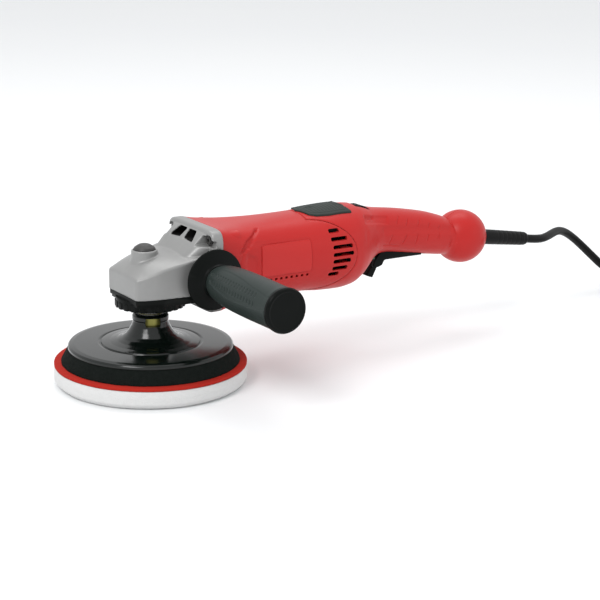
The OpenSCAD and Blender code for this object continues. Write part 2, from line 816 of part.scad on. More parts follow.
module clamp_screws() {
    color("silver") translate(clamp_at) rotate([0, exit_slope, 0]) for (y = [-8, 8]) {
        bar_z(0, y, -6, 6.6, 1.5);
        bar_z(0, y, 6.5, 8.2, 2.6);
    }
}

function unit(v) = v / norm(v);

// Rings of the cord round each point of its route
function cord_rings(route, r) = [for (i = [0 : len(route) - 1])
    let (along = unit(route[min(i + 1, len(route) - 1)] - route[max(i - 1, 0)]),
        side = unit(cross([0, 0, 1], along)), up = cross(along, side))
    [for (k = [0 : 9]) route[i] + r * (cos(36 * k) * side + sin(36 * k) * up)]];

module cord_run() {
    color([0.07, 0.07, 0.07]) loft(cord_rings(ROUTE, cord_d / 2));
}

module cord_coil() {
    color([0.07, 0.07, 0.07]) translate([coil_at[0], coil_at[1], coil_lift]) rotate_extrude($fn = 96)
        translate([coil_d / 2, coil_h / 2]) square([coil_w, coil_h], center = true);
}

module cord_tie() {
    color("dimgray") translate([coil_at[0] - coil_d / 2, coil_at[1], 0]) difference() {
        block([-coil_w / 2 - 1.4, -6, 0], [coil_w / 2 + 1.8, 6, coil_h + 2 * coil_lift]);
        block([-coil_w / 2 - 0.1, -7, coil_lift], [coil_w / 2 + 0.6, 7, coil_h + coil_lift]);
    }
}

// Plug, lying flat on the coil's turns in line with the innermost one, with its pins towards +X
plug_at = [coil_at[0] + 12, coil_at[1] + coil_d / 2 - 1.5 * cord_d, coil_lift + coil_h + 13];
module plug_body() {
    color([0.08, 0.08, 0.08]) translate(plug_at) intersection() {
        rotate([0, 90, 0]) rotate_extrude() polygon([
            [0, -12], [6, -12], [7.5, 4], [13, 14], [18, 20], [18, 34], [17, 36], [0, 36]]);
        block([-20, -20, -13], [60, 20, 13]);
    }
}

module plug_pins() {
    color("silver") for (y = [-9.5, 9.5]) translate(plug_at)
        bar_x(36, 55, y, 0, 2.4);
}

// ---- Side handle ----

module about_side_axis() {
    translate([side_x, 0, side_z]) rotate([90, 0, 0]) rotate_extrude($fn = 96) children();
}

module side_flange() {
    color([0.07, 0.07, 0.08]) about_side_axis() polygon([
        [stud_r, side_face], [12, side_face], [23.5, 41], [25, 42.4], [24.6, 44], [18, 46.6], [13, 49.5],
        [stud_r, 49.5]]);
}

module side_grip() {
    color([0.1, 0.13, 0.12]) about_side_axis() polygon([
        [stud_r, 49.5], [12.6, 49.5], [13.8, 53], [15.6, 61], [16.9, 74], [17.6, 90], [17.8, 110], [17.6, 130],
        [17.3, side_reach - 5], [16.8, side_reach - 1.5], [15.6, side_reach], [0, side_reach], [0, 78],
        [stud_r, 78]]);
}

module side_stud() {
    color("silver") bar_y(side_x, side_z, -78, -26, stud_r);
}

gear_head();
gear_case_screws();
bearing_plate();
motor_housing();
handle_left();
handle_right();
handle_screws();
top_grip_pad();
badge_plate();
stator_core();
stator_windings();
fan_baffle();
bearing_bracket();
brush_holders();
carbon_brushes();
brush_springs();
shaft_bearing_outer();
spindle_bearing_outer();
ring_gear();
switch_body();
speed_module();
cable_clamp();
clamp_screws();
strain_relief();
supply_lead();
side_flange();
side_grip();
side_stud();
lock_spring();
lock_button();
lock_pin();
spindle();
bevel_gear();
spindle_bearing_inner();
hub_insert();
backing_plate();
cushion_foam();
hook_disc();
polishing_pad();
armature_shaft();
armature_core();
armature_windings();
commutator();
fan();
armature_bearing_inner();
carrier();
carrier_bearing_inner();
planet_1();
planet_2();
planet_3();
paddle();
paddle_pin();
lock_off_lever();
switch_plunger();
speed_dial();
cord_run();
cord_coil();
cord_tie();
plug_body();
plug_pins();
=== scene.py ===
import json
import math

import bmesh
import bpy
import numpy as np
from mathutils import Matrix, Vector


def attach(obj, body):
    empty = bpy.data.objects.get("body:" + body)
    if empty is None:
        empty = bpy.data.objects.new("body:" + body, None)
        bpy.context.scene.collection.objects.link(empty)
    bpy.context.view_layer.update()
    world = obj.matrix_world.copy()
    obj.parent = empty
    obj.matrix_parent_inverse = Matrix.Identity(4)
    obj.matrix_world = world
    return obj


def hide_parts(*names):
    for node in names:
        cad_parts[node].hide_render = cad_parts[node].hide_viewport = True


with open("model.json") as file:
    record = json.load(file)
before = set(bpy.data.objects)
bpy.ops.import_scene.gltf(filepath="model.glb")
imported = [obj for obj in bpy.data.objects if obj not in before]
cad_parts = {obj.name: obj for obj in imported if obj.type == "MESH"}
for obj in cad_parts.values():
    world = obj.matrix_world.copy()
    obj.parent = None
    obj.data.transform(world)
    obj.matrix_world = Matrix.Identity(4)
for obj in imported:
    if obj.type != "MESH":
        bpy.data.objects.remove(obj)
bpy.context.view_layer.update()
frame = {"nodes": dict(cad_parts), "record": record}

# Lengths in this file are in millimetres, and make() turns them into metres.
MM = 0.001
AXIS_H = 94.0
scene = bpy.context.scene
rng = np.random.default_rng(7)


# ---- Camera, light and floor ----

def make_camera():
    azimuth = math.radians(-33)
    elevation = math.radians(15.4)
    roll = math.radians(0.8)
    target = Vector((0.120, 0, 0.070))
    distance = 1.4234
    shift_right = 0.0227
    shift_up = -0.0166
    back = Vector((math.sin(azimuth) * math.cos(elevation), -math.cos(azimuth) * math.cos(elevation),
                   math.sin(elevation)))
    right = Vector((math.cos(azimuth), math.sin(azimuth), 0))
    up = back.cross(right)
    tilted_right = math.cos(roll) * right + math.sin(roll) * up
    tilted_up = math.cos(roll) * up - math.sin(roll) * right
    data = bpy.data.cameras.new("camera")
    data.lens = 99.07
    data.sensor_width = 36
    camera = bpy.data.objects.new("camera", data)
    scene.collection.objects.link(camera)
    place = target + distance * back + shift_right * right + shift_up * up
    turn = Matrix([tilted_right, tilted_up, back]).transposed()
    camera.matrix_world = Matrix.Translation(place) @ turn.to_4x4()
    scene.camera = camera


def area_light(name, place, aim, size, power):
    data = bpy.data.lights.new(name, "AREA")
    data.shape = "RECTANGLE"
    data.size, data.size_y = size
    data.energy = power
    lamp = bpy.data.objects.new(name, data)
    scene.collection.objects.link(lamp)
    lamp.location = place
    lamp.rotation_mode = "QUATERNION"
    lamp.rotation_quaternion = (Vector(aim) - Vector(place)).to_track_quat("-Z", "Y")


def make_studio():
    scene.view_settings.view_transform = "Standard"
    world = bpy.data.worlds.new("studio")
    world.use_nodes = True
    sky = world.node_tree.nodes["Background"]
    sky.inputs["Color"].default_value = (0.985, 0.99, 1, 1)
    sky.inputs["Strength"].default_value = 0.95
    scene.world = world
    middle = (0.13, 0, 0.06)
    area_light("key", (-1.3, -0.7, 1.7), middle, (0.8, 0.8), 18)
    area_light("top", (0.5, 0.7, 1.9), middle, (1.6, 0.9), 12)
    area_light("fill", (1.5, -1.7, 0.7), middle, (1.4, 1.0), 1.5)
    floor = make("floor", [(-6000, -6000, 0), (6000, -6000, 0), (6000, 6000, 0), (-6000, 6000, 0)],
                 [(0, 1, 2, 3)])
    floor.data.materials.append(MATERIALS["floor"])


# ---- Materials ----

def material(name, colour, other, rough, grain=700, grain_depth=0.03, cloud=25, metal=0.0, coat=0.0,
             sheen=0.0, stretch=(1, 1, 1), pattern="noise", rough_spread=0.06, wear=0.0, specular=0.5,
             detail=4.0):
    """A finish whose colour drifts between two tones, with a fine grain in its roughness and its relief.
    grain and cloud are in features per metre and grain_depth is in millimetres."""
    mat = bpy.data.materials.new(name)
    mat.use_nodes = True
    nodes, links = mat.node_tree.nodes, mat.node_tree.links
    shader = nodes["Principled BSDF"]
    shader.inputs["Metallic"].default_value = metal
    shader.inputs["Coat Weight"].default_value = coat
    shader.inputs["Coat Roughness"].default_value = 0.12
    shader.inputs["Sheen Weight"].default_value = sheen
    shader.inputs["Specular IOR Level"].default_value = specular
    coords = nodes.new("ShaderNodeTexCoord")
    mapping = nodes.new("ShaderNodeMapping")
    mapping.inputs["Scale"].default_value = stretch
    links.new(coords.outputs["Object"], mapping.inputs["Vector"])
    drift = nodes.new("ShaderNodeTexNoise")
    drift.inputs["Scale"].default_value = cloud
    drift.inputs["Detail"].default_value = 3
    links.new(coords.outputs["Object"], drift.inputs["Vector"])
    tones = nodes.new("ShaderNodeMix")
    tones.data_type = "RGBA"
    tones.inputs["A"].default_value = (*colour, 1)
    tones.inputs["B"].default_value = (*other, 1)
    links.new(drift.outputs["Fac"], tones.inputs["Factor"])
    if pattern == "cells":
        relief = nodes.new("ShaderNodeTexVoronoi")
        height = relief.outputs["Distance"]
    elif pattern == "bands":
        relief = nodes.new("ShaderNodeTexWave")
        relief.inputs["Distortion"].default_value = 0.4
        height = relief.outputs["Fac"]
    else:
        relief = nodes.new("ShaderNodeTexNoise")
        relief.inputs["Detail"].default_value = detail
        height = relief.outputs["Fac"]
    relief.inputs["Scale"].default_value = grain
    links.new(mapping.outputs["Vector"], relief.inputs["Vector"])
    gloss = nodes.new("ShaderNodeMapRange")
    gloss.inputs["To Min"].default_value = max(rough - rough_spread, 0.03)
    gloss.inputs["To Max"].default_value = min(rough + rough_spread, 1)
    links.new(height, gloss.inputs["Value"])
    links.new(gloss.outputs["Result"], shader.inputs["Roughness"])
    bump = nodes.new("ShaderNodeBump")
    bump.inputs["Distance"].default_value = grain_depth * MM
    links.new(height, bump.inputs["Height"])
    links.new(bump.outputs["Normal"], shader.inputs["Normal"])
    surface = tones.outputs["Result"]
    if wear > 0:
        edges = nodes.new("ShaderNodeNewGeometry")
        ramp = nodes.new("ShaderNodeMapRange")
        ramp.inputs["From Min"].default_value = 0.52
        ramp.inputs["From Max"].default_value = 0.62
        ramp.inputs["To Max"].default_value = wear
        links.new(edges.outputs["Pointiness"], ramp.inputs["Value"])
        worn = nodes.new("ShaderNodeMix")
        worn.data_type = "RGBA"
        worn.inputs["B"].default_value = (*[min(1, 0.12 + 1.5 * c) for c in colour], 1)
        links.new(ramp.outputs["Result"], worn.inputs["Factor"])
        links.new(surface, worn.inputs["A"])
        surface = worn.outputs["Result"]
    links.new(surface, shader.inputs["Base Color"])
    return mat


MATERIALS = {
    "floor": material("floor", (0.86, 0.87, 0.87), (0.84, 0.85, 0.86), 0.75, grain=60, grain_depth=0.02,
                      cloud=2),
    "cast_alloy": material("cast_alloy", (0.300, 0.300, 0.296), (0.250, 0.250, 0.246), 0.40, grain=1500,
                           grain_depth=0.05, cloud=60, metal=0.35, wear=0.25),
    "machined_alloy": material("machined_alloy", (0.60, 0.60, 0.61), (0.52, 0.52, 0.53), 0.30, grain=300,
                               grain_depth=0.01, cloud=80, metal=0.9, stretch=(1, 1, 6)),
    "red_plastic": material("red_plastic", (0.475, 0.018, 0.016), (0.435, 0.014, 0.013), 0.37, grain=1900,
                            grain_depth=0.022, cloud=18, wear=0.08, specular=0.24),
    "red_badge": material("red_badge", (0.51, 0.025, 0.023), (0.48, 0.022, 0.020), 0.36, grain=900,
                          grain_depth=0.008, cloud=30, specular=0.22),
    # Painted shade: a near-black finish for faces inside hollows, vent walls and the gear head's windows,
    # where only shade falls
    "painted_shade_plastic": material("painted_shade_plastic", (0.003, 0.003, 0.003), (0.006, 0.005, 0.005), 0.7, grain=900,
                              grain_depth=0.05, cloud=40, specular=0.1),
    "black_plastic": material("black_plastic", (0.0025, 0.0035, 0.0030), (0.0045, 0.0055, 0.0050), 0.34,
                              grain=1500, grain_depth=0.02, cloud=40, wear=0.04, specular=0.08),
    "plate_plastic": material("plate_plastic", (0.002, 0.004, 0.003), (0.003, 0.005, 0.004), 0.16,
                              grain=160, grain_depth=0.012, cloud=22, coat=0.05, rough_spread=0.03,
                              specular=0.4),
    "button_plastic": material("button_plastic", (0.028, 0.027, 0.026), (0.036, 0.034, 0.033), 0.45,
                               grain=1600, grain_depth=0.02, cloud=90),
    "white_plastic": material("white_plastic", (0.78, 0.78, 0.75), (0.74, 0.74, 0.70), 0.35, grain=900,
                              grain_depth=0.01, cloud=60),
    "grip_rubber": material("grip_rubber", (0.014, 0.021, 0.018), (0.019, 0.027, 0.023), 0.58, grain=2200,
                            grain_depth=0.04, cloud=50, specular=0.25),
    "side_grip_rubber": material("side_grip_rubber", (0.018, 0.026, 0.024), (0.023, 0.032, 0.029), 0.42,
                                 grain=2000, grain_depth=0.03, cloud=35, specular=0.2),
    "cord_rubber": material("cord_rubber", (0.003, 0.003, 0.003), (0.006, 0.006, 0.006), 0.48, grain=1300,
                            grain_depth=0.03, cloud=30, specular=0.15),
    "black_foam": material("black_foam", (0.003, 0.005, 0.004), (0.008, 0.010, 0.009), 0.92, grain=900,
                           grain_depth=0.35, cloud=300, pattern="cells", specular=0.1),
    "red_hook": material("red_hook", (0.42, 0.020, 0.011), (0.34, 0.015, 0.009), 0.85, grain=1400,
                         grain_depth=0.12, cloud=400, specular=0.15, detail=2),
    "white_foam": material("white_foam", (0.66, 0.66, 0.655), (0.60, 0.60, 0.595), 0.92, grain=950,
                           grain_depth=0.22, cloud=260, pattern="cells", sheen=0.1),
    "steel": material("steel", (0.62, 0.62, 0.63), (0.54, 0.54, 0.55), 0.26, grain=500, grain_depth=0.006,
                      cloud=120, metal=1, stretch=(1, 1, 5)),
    "black_steel": material("black_steel", (0.035, 0.034, 0.033), (0.055, 0.052, 0.050), 0.42, grain=1200,
                            grain_depth=0.02, cloud=200, metal=0.7, wear=0.4),
    "gear_steel": material("gear_steel", (0.40, 0.40, 0.41), (0.33, 0.33, 0.34), 0.32, grain=800,
                           grain_depth=0.01, cloud=150, metal=1),
    "lamination_steel": material("lamination_steel", (0.34, 0.34, 0.35), (0.26, 0.26, 0.28), 0.45,
                                 grain=320, grain_depth=0.06, cloud=90, metal=0.9, pattern="bands"),
    "copper": material("copper", (0.52, 0.20, 0.07), (0.42, 0.14, 0.05), 0.34, grain=260, grain_depth=0.2,
                       cloud=120, metal=0.7, coat=0.4, pattern="bands"),
    "brass": material("brass", (0.42, 0.40, 0.10), (0.34, 0.31, 0.08), 0.42, grain=500, grain_depth=0.02,
                      cloud=160, metal=0.5),
    "carbon": material("carbon", (0.030, 0.030, 0.032), (0.045, 0.045, 0.047), 0.6, grain=1400,
                       grain_depth=0.03, cloud=200),
    "potting": material("potting", (0.02, 0.06, 0.03), (0.03, 0.08, 0.04), 0.3, grain=90, grain_depth=0.1,
                        cloud=60, coat=0.3),
    "tie_plastic": material("tie_plastic", (0.05, 0.05, 0.055), (0.07, 0.07, 0.075), 0.6, grain=900,
                            grain_depth=0.08, cloud=60, pattern="bands"),
    "chrome": material("chrome", (0.72, 0.72, 0.73), (0.66, 0.66, 0.67), 0.16, grain=400, grain_depth=0.003,
                       cloud=90, metal=1),
}


# ---- Mesh tools ----

def make(name, points, faces):
    mesh = bpy.data.meshes.new(name)
    mesh.from_pydata((np.asarray(points, float) * MM).tolist(), [], faces)
    mesh.update()
    obj = bpy.data.objects.new(name, mesh)
    scene.collection.objects.link(obj)
    return obj


def shade(obj, angle=35):
    obj.data.shade_smooth()
    obj.data.set_sharp_from_angle(angle=math.radians(angle))
    return obj


def clean(obj):
    """Merges points that coincide and turns the faces outwards."""
    bm = bmesh.new()
    bm.from_mesh(obj.data)
    bmesh.ops.remove_doubles(bm, verts=bm.verts, dist=1e-7)
    bmesh.ops.recalc_face_normals(bm, faces=bm.faces)
    bm.to_mesh(obj.data)
    bm.free()
    return obj


def bake(obj):
    """Applies the object's modifiers."""
    graph = bpy.context.evaluated_depsgraph_get()
    mesh = bpy.data.meshes.new_from_object(obj.evaluated_get(graph), depsgraph=graph)
    obj.modifiers.clear()
    obj.data = mesh
    return obj


def combine(obj, tools, operation="DIFFERENCE"):
    for tool in tools:
        modifier = obj.modifiers.new("combine", "BOOLEAN")
        modifier.operation = operation
        modifier.object = tool
        modifier.solver = "MANIFOLD"
    bake(obj)
    for tool in tools:
        bpy.data.objects.remove(tool)
    return obj


def cut_each(obj, cutters):
    """Cuts with one tool at a time, because these tools overlap each other."""
    for cutter in cutters:
        combine(obj, [cutter])


def bevelled(obj, width, segments=3, angle=30):
    modifier = obj.modifiers.new("bevel", "BEVEL")
    modifier.width = width * MM
    modifier.segments = segments
    modifier.limit_method = "ANGLE"
    modifier.angle_limit = math.radians(angle)
    bake(obj)
    return shade(obj, 40)


def grid_faces(rows, columns, around=True):
    """Quads of a grid of points that is stored row by row. around joins the last column to the first."""
    i, j = np.meshgrid(np.arange(rows - 1), np.arange(columns if around else columns - 1), indexing="ij")
    a = i * columns + j
    b = i * columns + (j + 1) % columns
    return np.stack([a, b, b + columns, a + columns], -1).reshape(-1, 4).tolist()


def tube_solid(name, rings):
    """Closed solid through rings of points, shaped (rings, points, 3)."""
    rows, columns = rings.shape[:2]
    faces = grid_faces(rows, columns)
    faces.append(list(range(columns))[::-1])
    faces.append([(rows - 1) * columns + k for k in range(columns)])
    return clean(make(name, rings.reshape(-1, 3), faces))


def fillet(points, radius, steps=5, closed=True):
    """The outline with each corner rounded. A point may carry a radius of its own as a third number."""
    count = len(points)
    out = []
    for k, point in enumerate(points):
        here = np.array(point[:2], float)
        own = point[2] if len(point) > 2 else radius
        if not closed and k in (0, count - 1) or own <= 0:
            out.append(here)
            continue
        before = np.array(points[k - 1][:2], float) - here
        after = np.array(points[(k + 1) % count][:2], float) - here
        cos_angle = before @ after / (np.linalg.norm(before) * np.linalg.norm(after))
        half = math.acos(max(-1, min(1, cos_angle))) / 2
        reach = own / max(math.tan(half), 1e-6)
        start = here + before / np.linalg.norm(before) * min(reach, 0.45 * np.linalg.norm(before))
        end = here + after / np.linalg.norm(after) * min(reach, 0.45 * np.linalg.norm(after))
        for s in np.linspace(0, 1, steps + 1):
            out.append((1 - s) ** 2 * start + 2 * s * (1 - s) * here + s * s * end)
    return np.array(out)


def lathe(name, profile, sides=160, closed=False):
    """Solid of revolution about +Z from a profile of (radius, height). closed joins its two ends."""
    profile = np.asarray(profile, float)
    if closed:
        profile = np.vstack([profile, profile[:1]])
    angles = np.linspace(0, 2 * math.pi, sides, endpoint=False)
    radius, height = profile[:, :1], profile[:, 1:2]
    rings = np.stack([radius * np.cos(angles), radius * np.sin(angles), height + 0 * angles], -1)
    return clean(make(name, rings.reshape(-1, 3), grid_faces(len(profile), sides)))


def prism(name, outline, low, high, along="z"):
    """Solid with a flat outline in two axes, which runs from low to high along the third."""
    outline = np.asarray(outline, float)
    count = len(outline)
    order = {"x": (2, 0, 1), "y": (0, 2, 1), "z": (0, 1, 2)}[along]
    points = np.vstack([np.column_stack([outline, np.full(count, at)]) for at in (low, high)])[:, order]
    faces = [[k, (k + 1) % count, (k + 1) % count + count, k + count] for k in range(count)]
    faces += [list(range(count))[::-1], [count + k for k in range(count)]]
    return clean(make(name, points, faces))


def circle(centre, radius, sides=48):
    angles = np.linspace(0, 2 * math.pi, sides, endpoint=False)
    return np.array(centre) + radius * np.column_stack([np.cos(angles), np.sin(angles)])


def box_outline(low, high, radius=0.0, steps=4):
    corners = [(low[0], low[1]), (high[0], low[1]), (high[0], high[1]), (low[0], high[1])]
    return fillet(corners, radius, steps)


def turned(obj, place, rotation):
    """Turns a mesh by the rotation, which is a 3x3 matrix's rows, and then puts it at a place in mm."""
    points = np.zeros(len(obj.data.vertices) * 3)
    obj.data.vertices.foreach_get("co", points)
    points = points.reshape(-1, 3) @ np.array(rotation, float).T + np.array(place, float) * MM
    obj.data.vertices.foreach_set("co", points.ravel())
    obj.data.update()
    return obj


def grow(obj, function):
    """Moves each point along its normal by function(points) mm, where the points are in mm."""
    count = len(obj.data.vertices)
    points = np.zeros(count * 3)
    normals = np.zeros(count * 3)
    obj.data.vertices.foreach_get("co", points)
    obj.data.vertex_normals.foreach_get("vector", normals)
    points = points.reshape(-1, 3)
    points += normals.reshape(-1, 3) * (function(points / MM) * MM)[:, None]
    obj.data.vertices.foreach_set("co", points.ravel())
    obj.data.update()
    return obj


def place_piece(obj, body, slot, *nodes, mats=None):
    """Gives a piece its materials, the slot's own unless mats lists them, puts it on its body and hides the
    CAD nodes that it stands for.
    """
    obj.data.materials.clear()
    for mat in mats or [slot]:
        obj.data.materials.append(MATERIALS[mat])
    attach(obj, body)
    if nodes:
        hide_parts(*nodes)
    return obj


def soft_step(distance, width):
    """1 well inside, 0 well outside, with a smooth change over 2 widths about a signed distance of 0."""
    t = np.clip(0.5 - distance / (2 * width), 0, 1)
    return t * t * (3 - 2 * t)


def to_segment(x, h, a, b):
    ax, ah = a
    dx, dh = b[0] - ax, b[1] - ah
    t = np.clip(((x - ax) * dx + (h - ah) * dh) / (dx * dx + dh * dh), 0, 1)
    return np.hypot(x - ax - t * dx, h - ah - t * dh)


def to_outline(x, h, outline):
    """Signed distance to a closed outline, below 0 inside."""
    best = np.full(x.shape, 1e9)
    inside = np.zeros(x.shape, bool)
    for a, b in zip(outline, np.roll(outline, -1, axis=0)):
        best = np.minimum(best, to_segment(x, h, a, b))
        crosses = (a[1] > h) != (b[1] > h)
        with np.errstate(divide="ignore", invalid="ignore"):
            inside ^= crosses & (x < (b[0] - a[0]) * (h - a[1]) / (b[1] - a[1]) + a[0])
    return np.where(inside, -best, best)


def rounding(distance, radius):
    """How far a surface drops at a signed distance outside a cut, to round the cut's edge."""
    share = np.clip(1 - np.abs(distance) / radius, 0, 1)
    return radius * (1 - np.sqrt(1 - share * share)) * 0.8


# ---- Sections of the body ----

def hermite(knots, values, tangent, x):
    """Places x on the cubic pieces through knots with these values and tangents."""
    i = np.clip(np.searchsorted(knots, x) - 1, 0, len(knots) - 2)
    gap = np.diff(knots)[i][:, None]
    s = (x[:, None] - knots[i][:, None]) / gap
    return ((1 + 2 * s) * (1 - s) ** 2 * values[i] + s * (1 - s) ** 2 * gap * tangent[i]
            + s * s * (3 - 2 * s) * values[i + 1] + s * s * (s - 1) * gap * tangent[i + 1])


def smooth_curve(table, x):
    """Each column of a table of knots at places x, on a curve that doesn't overshoot the knots."""
    table = np.array(table, float)
    knots, values = table[:, 0], table[:, 1:]
    slope = np.diff(values, axis=0) / np.diff(knots)[:, None]
    tangent = np.vstack([slope[:1], slope])
    product = slope[:-1] * slope[1:]
    total = np.where(product > 0, slope[:-1] + slope[1:], 1)
    tangent[1:-1] = np.where(product > 0, 2 * product / total, 0)
    return hermite(knots, values, tangent, x)


BALL_X, BALL_Z, BALL_R = 322.0, AXIS_H - 7.8, 24.4
# Place along X, half width, height above and below the motor's axis, and squareness
BODY = [
    (47.5, 37.6, 35.2, 34.4, 9), (50, 37.3, 34.9, 34.2, 8), (56, 36.9, 34.2, 33.9, 6.5),
    (64, 36.7, 33.8, 33.7, 5.2),
    (74, 36.4, 33.6, 33.5, 4.0), (88, 36.2, 33.7, 33.3, 3.1), (101, 36.2, 33.8, 33.3, 2.7),
    (112, 36.2, 34.0, 33.3, 2.5), (123, 36.4, 34.2, 33.5, 2.4), (141, 36.7, 34.8, 34.4, 2.28),
    (157, 36.9, 36.1, 36.2, 2.2), (176, 36.8, 36.8, 36.8, 2.2), (188, 35.2, 36.7, 35.5, 2.2),
    (197, 32, 36.0, 31.8, 2.2), (205, 27.6, 34.3, 25.5, 2.2), (212, 23.8, 32, 19, 2.2),
    (218, 21.6, 30.4, 14.5, 2.2),
    (224, 20.4, 29.3, 12.2, 2.2), (230, 20, 28.5, 11.8, 2.2), (245, 19.6, 26.5, 13.7, 2.2),
    (262, 19.2, 23.6, 16.4, 2.2), (278, 18.8, 20.3, 18.9, 2.2), (292, 17.9, 16.2, 21, 2.2),
    (301, 17, 12.8, 22.2, 2.1)]
BALL_START = BALL_X - BALL_R * math.sin(math.radians(44))


def body_table(x):
    """Half width, height above, height below and squareness at places x, with the round ball at the end."""
    join = (BALL_START, 17.55, 9.75, 25.35, 2)
    table = smooth_curve(BODY + [join], np.minimum(x, BALL_START))
    radius = np.sqrt(np.maximum(BALL_R ** 2 - (x - BALL_X) ** 2, 0.01))
    drop = AXIS_H - BALL_Z
    ball = np.stack([radius, radius - drop, radius + drop, np.full(x.shape, 2.0)], -1)
    return np.where((x > BALL_START)[:, None], ball, table)


EVEN_QUARTER = np.linspace(0, 1, 17)


def section_rings(x, table, fractions, inset=0.0):
    """Rings of points, spaced by length round each quarter of the section as fractions says."""
    half_width, above, below, square = (column[:, None] for column in table.T)
    middle = AXIS_H + (above - below) / 2
    wide = half_width - inset
    high = (above + below) / 2 - inset
    fine = np.linspace(0, math.pi / 2, 240)
    across = wide * np.cos(fine) ** (2 / square)
    along = high * np.sin(fine) ** (2 / square)
    steps = [np.diff(line, prepend=line[:, :1]) for line in (across, along)]
    length = np.cumsum(np.hypot(*steps), 1)
    quarter_y = np.stack([np.interp(np.array(fractions) * l[-1], l, a) for l, a in zip(length, across)])
    quarter_z = np.stack([np.interp(np.array(fractions) * l[-1], l, a) for l, a in zip(length, along)])
    back_y, back_z = quarter_y[:, ::-1][:, 1:], quarter_z[:, ::-1][:, 1:]
    y = np.hstack([quarter_y, -back_y, -quarter_y[:, 1:], back_y[:, :-1]])
    z = np.hstack([quarter_z, back_z, -quarter_z[:, 1:], -back_z[:, :-1]])
    return np.stack([x[:, None] + 0 * y, y, middle + z], -1)


def grid_normals(rings):
    along = np.gradient(rings, axis=0)
    around = np.roll(rings, -1, axis=1) - np.roll(rings, 1, axis=1)
    normal = np.cross(around, along)
    normal /= np.maximum(np.linalg.norm(normal, axis=-1, keepdims=True), 1e-9)
    outward = rings - rings.mean(axis=1, keepdims=True)
    return normal * np.sign((normal * outward).sum(-1, keepdims=True))


def sunk(rings, depth):
    """The rings moved inwards along their normals by depth(x, y, z) mm."""
    return rings - grid_normals(rings) * depth(rings[..., 0], rings[..., 1], rings[..., 2])[..., None]


VENT_ZONE = (153, 180)
VENT_INSET = 1.4


def paint_shade_inside(obj, inset):
    """Gives the faces that lie more than inset below the body's outer surface the second material, which is
    painted shade.
    """
    centres = np.array([p.center for p in obj.data.polygons]) / MM
    half_width, above, below, square = body_table(centres[:, 0]).T
    middle = AXIS_H + (above - below) / 2
    by_vents = (centres[:, 0] > VENT_ZONE[0]) & (centres[:, 0] < VENT_ZONE[1])
    inset = np.where(by_vents, VENT_INSET, inset)
    reach = (np.abs(centres[:, 1] / (half_width - inset)) ** square
             + np.abs((centres[:, 2] - middle) / ((above + below) / 2 - inset)) ** square)
    for polygon, value in zip(obj.data.polygons, reach):
        polygon.material_index = int(value < 1)


# Parting line between the motor housing and the handle: straight down, with an arched bulge behind it
PARTING_X, PARTING_RUN, PARTING_RISE = 140.0, 42.0, 31.0


def motor_side_view(shrink=0.0):
    arch = [(PARTING_X - shrink + PARTING_RUN * math.cos(t), (PARTING_RISE - shrink) * math.sin(t))
            for t in np.radians(np.arange(-90, 91, 4))]
    x = PARTING_X - shrink
    return np.array([(x, 60), (0, 60), (0, -60), (x, -60)] + arch)


def lifted(outline):
    return np.asarray(outline, float) + np.array([0, AXIS_H])


VENTS = [(21.4, 155, 165.5), (14.8, 155.5, 172), (8, 157, 177), (1.5, 157, 178), (-4.5, 157, 175),
         (-10.5, 156.5, 172), (-15.5, 153.5, 164)]
VENT_R = 1.75
LEAF = np.array([(88.2, 30.4), (84.4, 29.9), (80.3, 27.7), (71.7, 23.4), (67.4, 18.4), (64.7, 13.8),
                 (67.7, 13.6), (71.2, 16.6), (74.2, 17.2), (77.2, 20.9), (81.2, 25.1), (85.2, 28.2)])
HOLLOW = np.array([(72, 12), (79.5, 9), (82, 5.6), (81.5, -20), (71.5, -25), (70.5, 6)])
PANEL_LOW, PANEL_HIGH = (85.6, -9.2), (135, 18)


def motor_relief(x, y, z):
    """Depth of the motor housing's grooves, recesses and rounded edges."""
    h = z - AXIS_H
    side = np.abs(y) > 8
    depth = 2.1 * soft_step(to_outline(x, h, LEAF), 0.7)
    for a, b in [((67.5, 13), (64.5, 6)), ((64.5, 6), (64, -8))]:
        depth = np.maximum(depth, 0.7 * soft_step(to_segment(x, h, a, b) - 0.5, 0.8))
    depth = np.maximum(depth, 1.1 * soft_step(to_outline(x, h, HOLLOW), 2.4))
    depth = np.maximum(depth, 0.3 * soft_step(to_segment(x, h, (80, 20.8), (103, 19.3)) - 0.35, 0.4))
    border = np.abs(to_outline(x, h, box_outline(PANEL_LOW, PANEL_HIGH, 2)))
    depth = np.maximum(depth, 0.55 * soft_step(border - 0.5, 0.45) * (y < 0))
    depth = np.maximum(depth, 0.4 * soft_step(to_segment(x, h, (86, -9.9), (135, -9.9)) - 0.3, 0.35))
    depth = depth * side
    for height, start, end in VENTS:
        edge = to_segment(x, h, (start + VENT_R, height), (end - VENT_R, height)) - VENT_R
        depth = np.maximum(depth, rounding(edge, 0.8) * (np.abs(y) > 15))
    depth = np.maximum(depth, rounding(to_outline(x, h, motor_side_view()), 1.3))
    return np.maximum(depth, rounding(x - 47.5, 0.8))


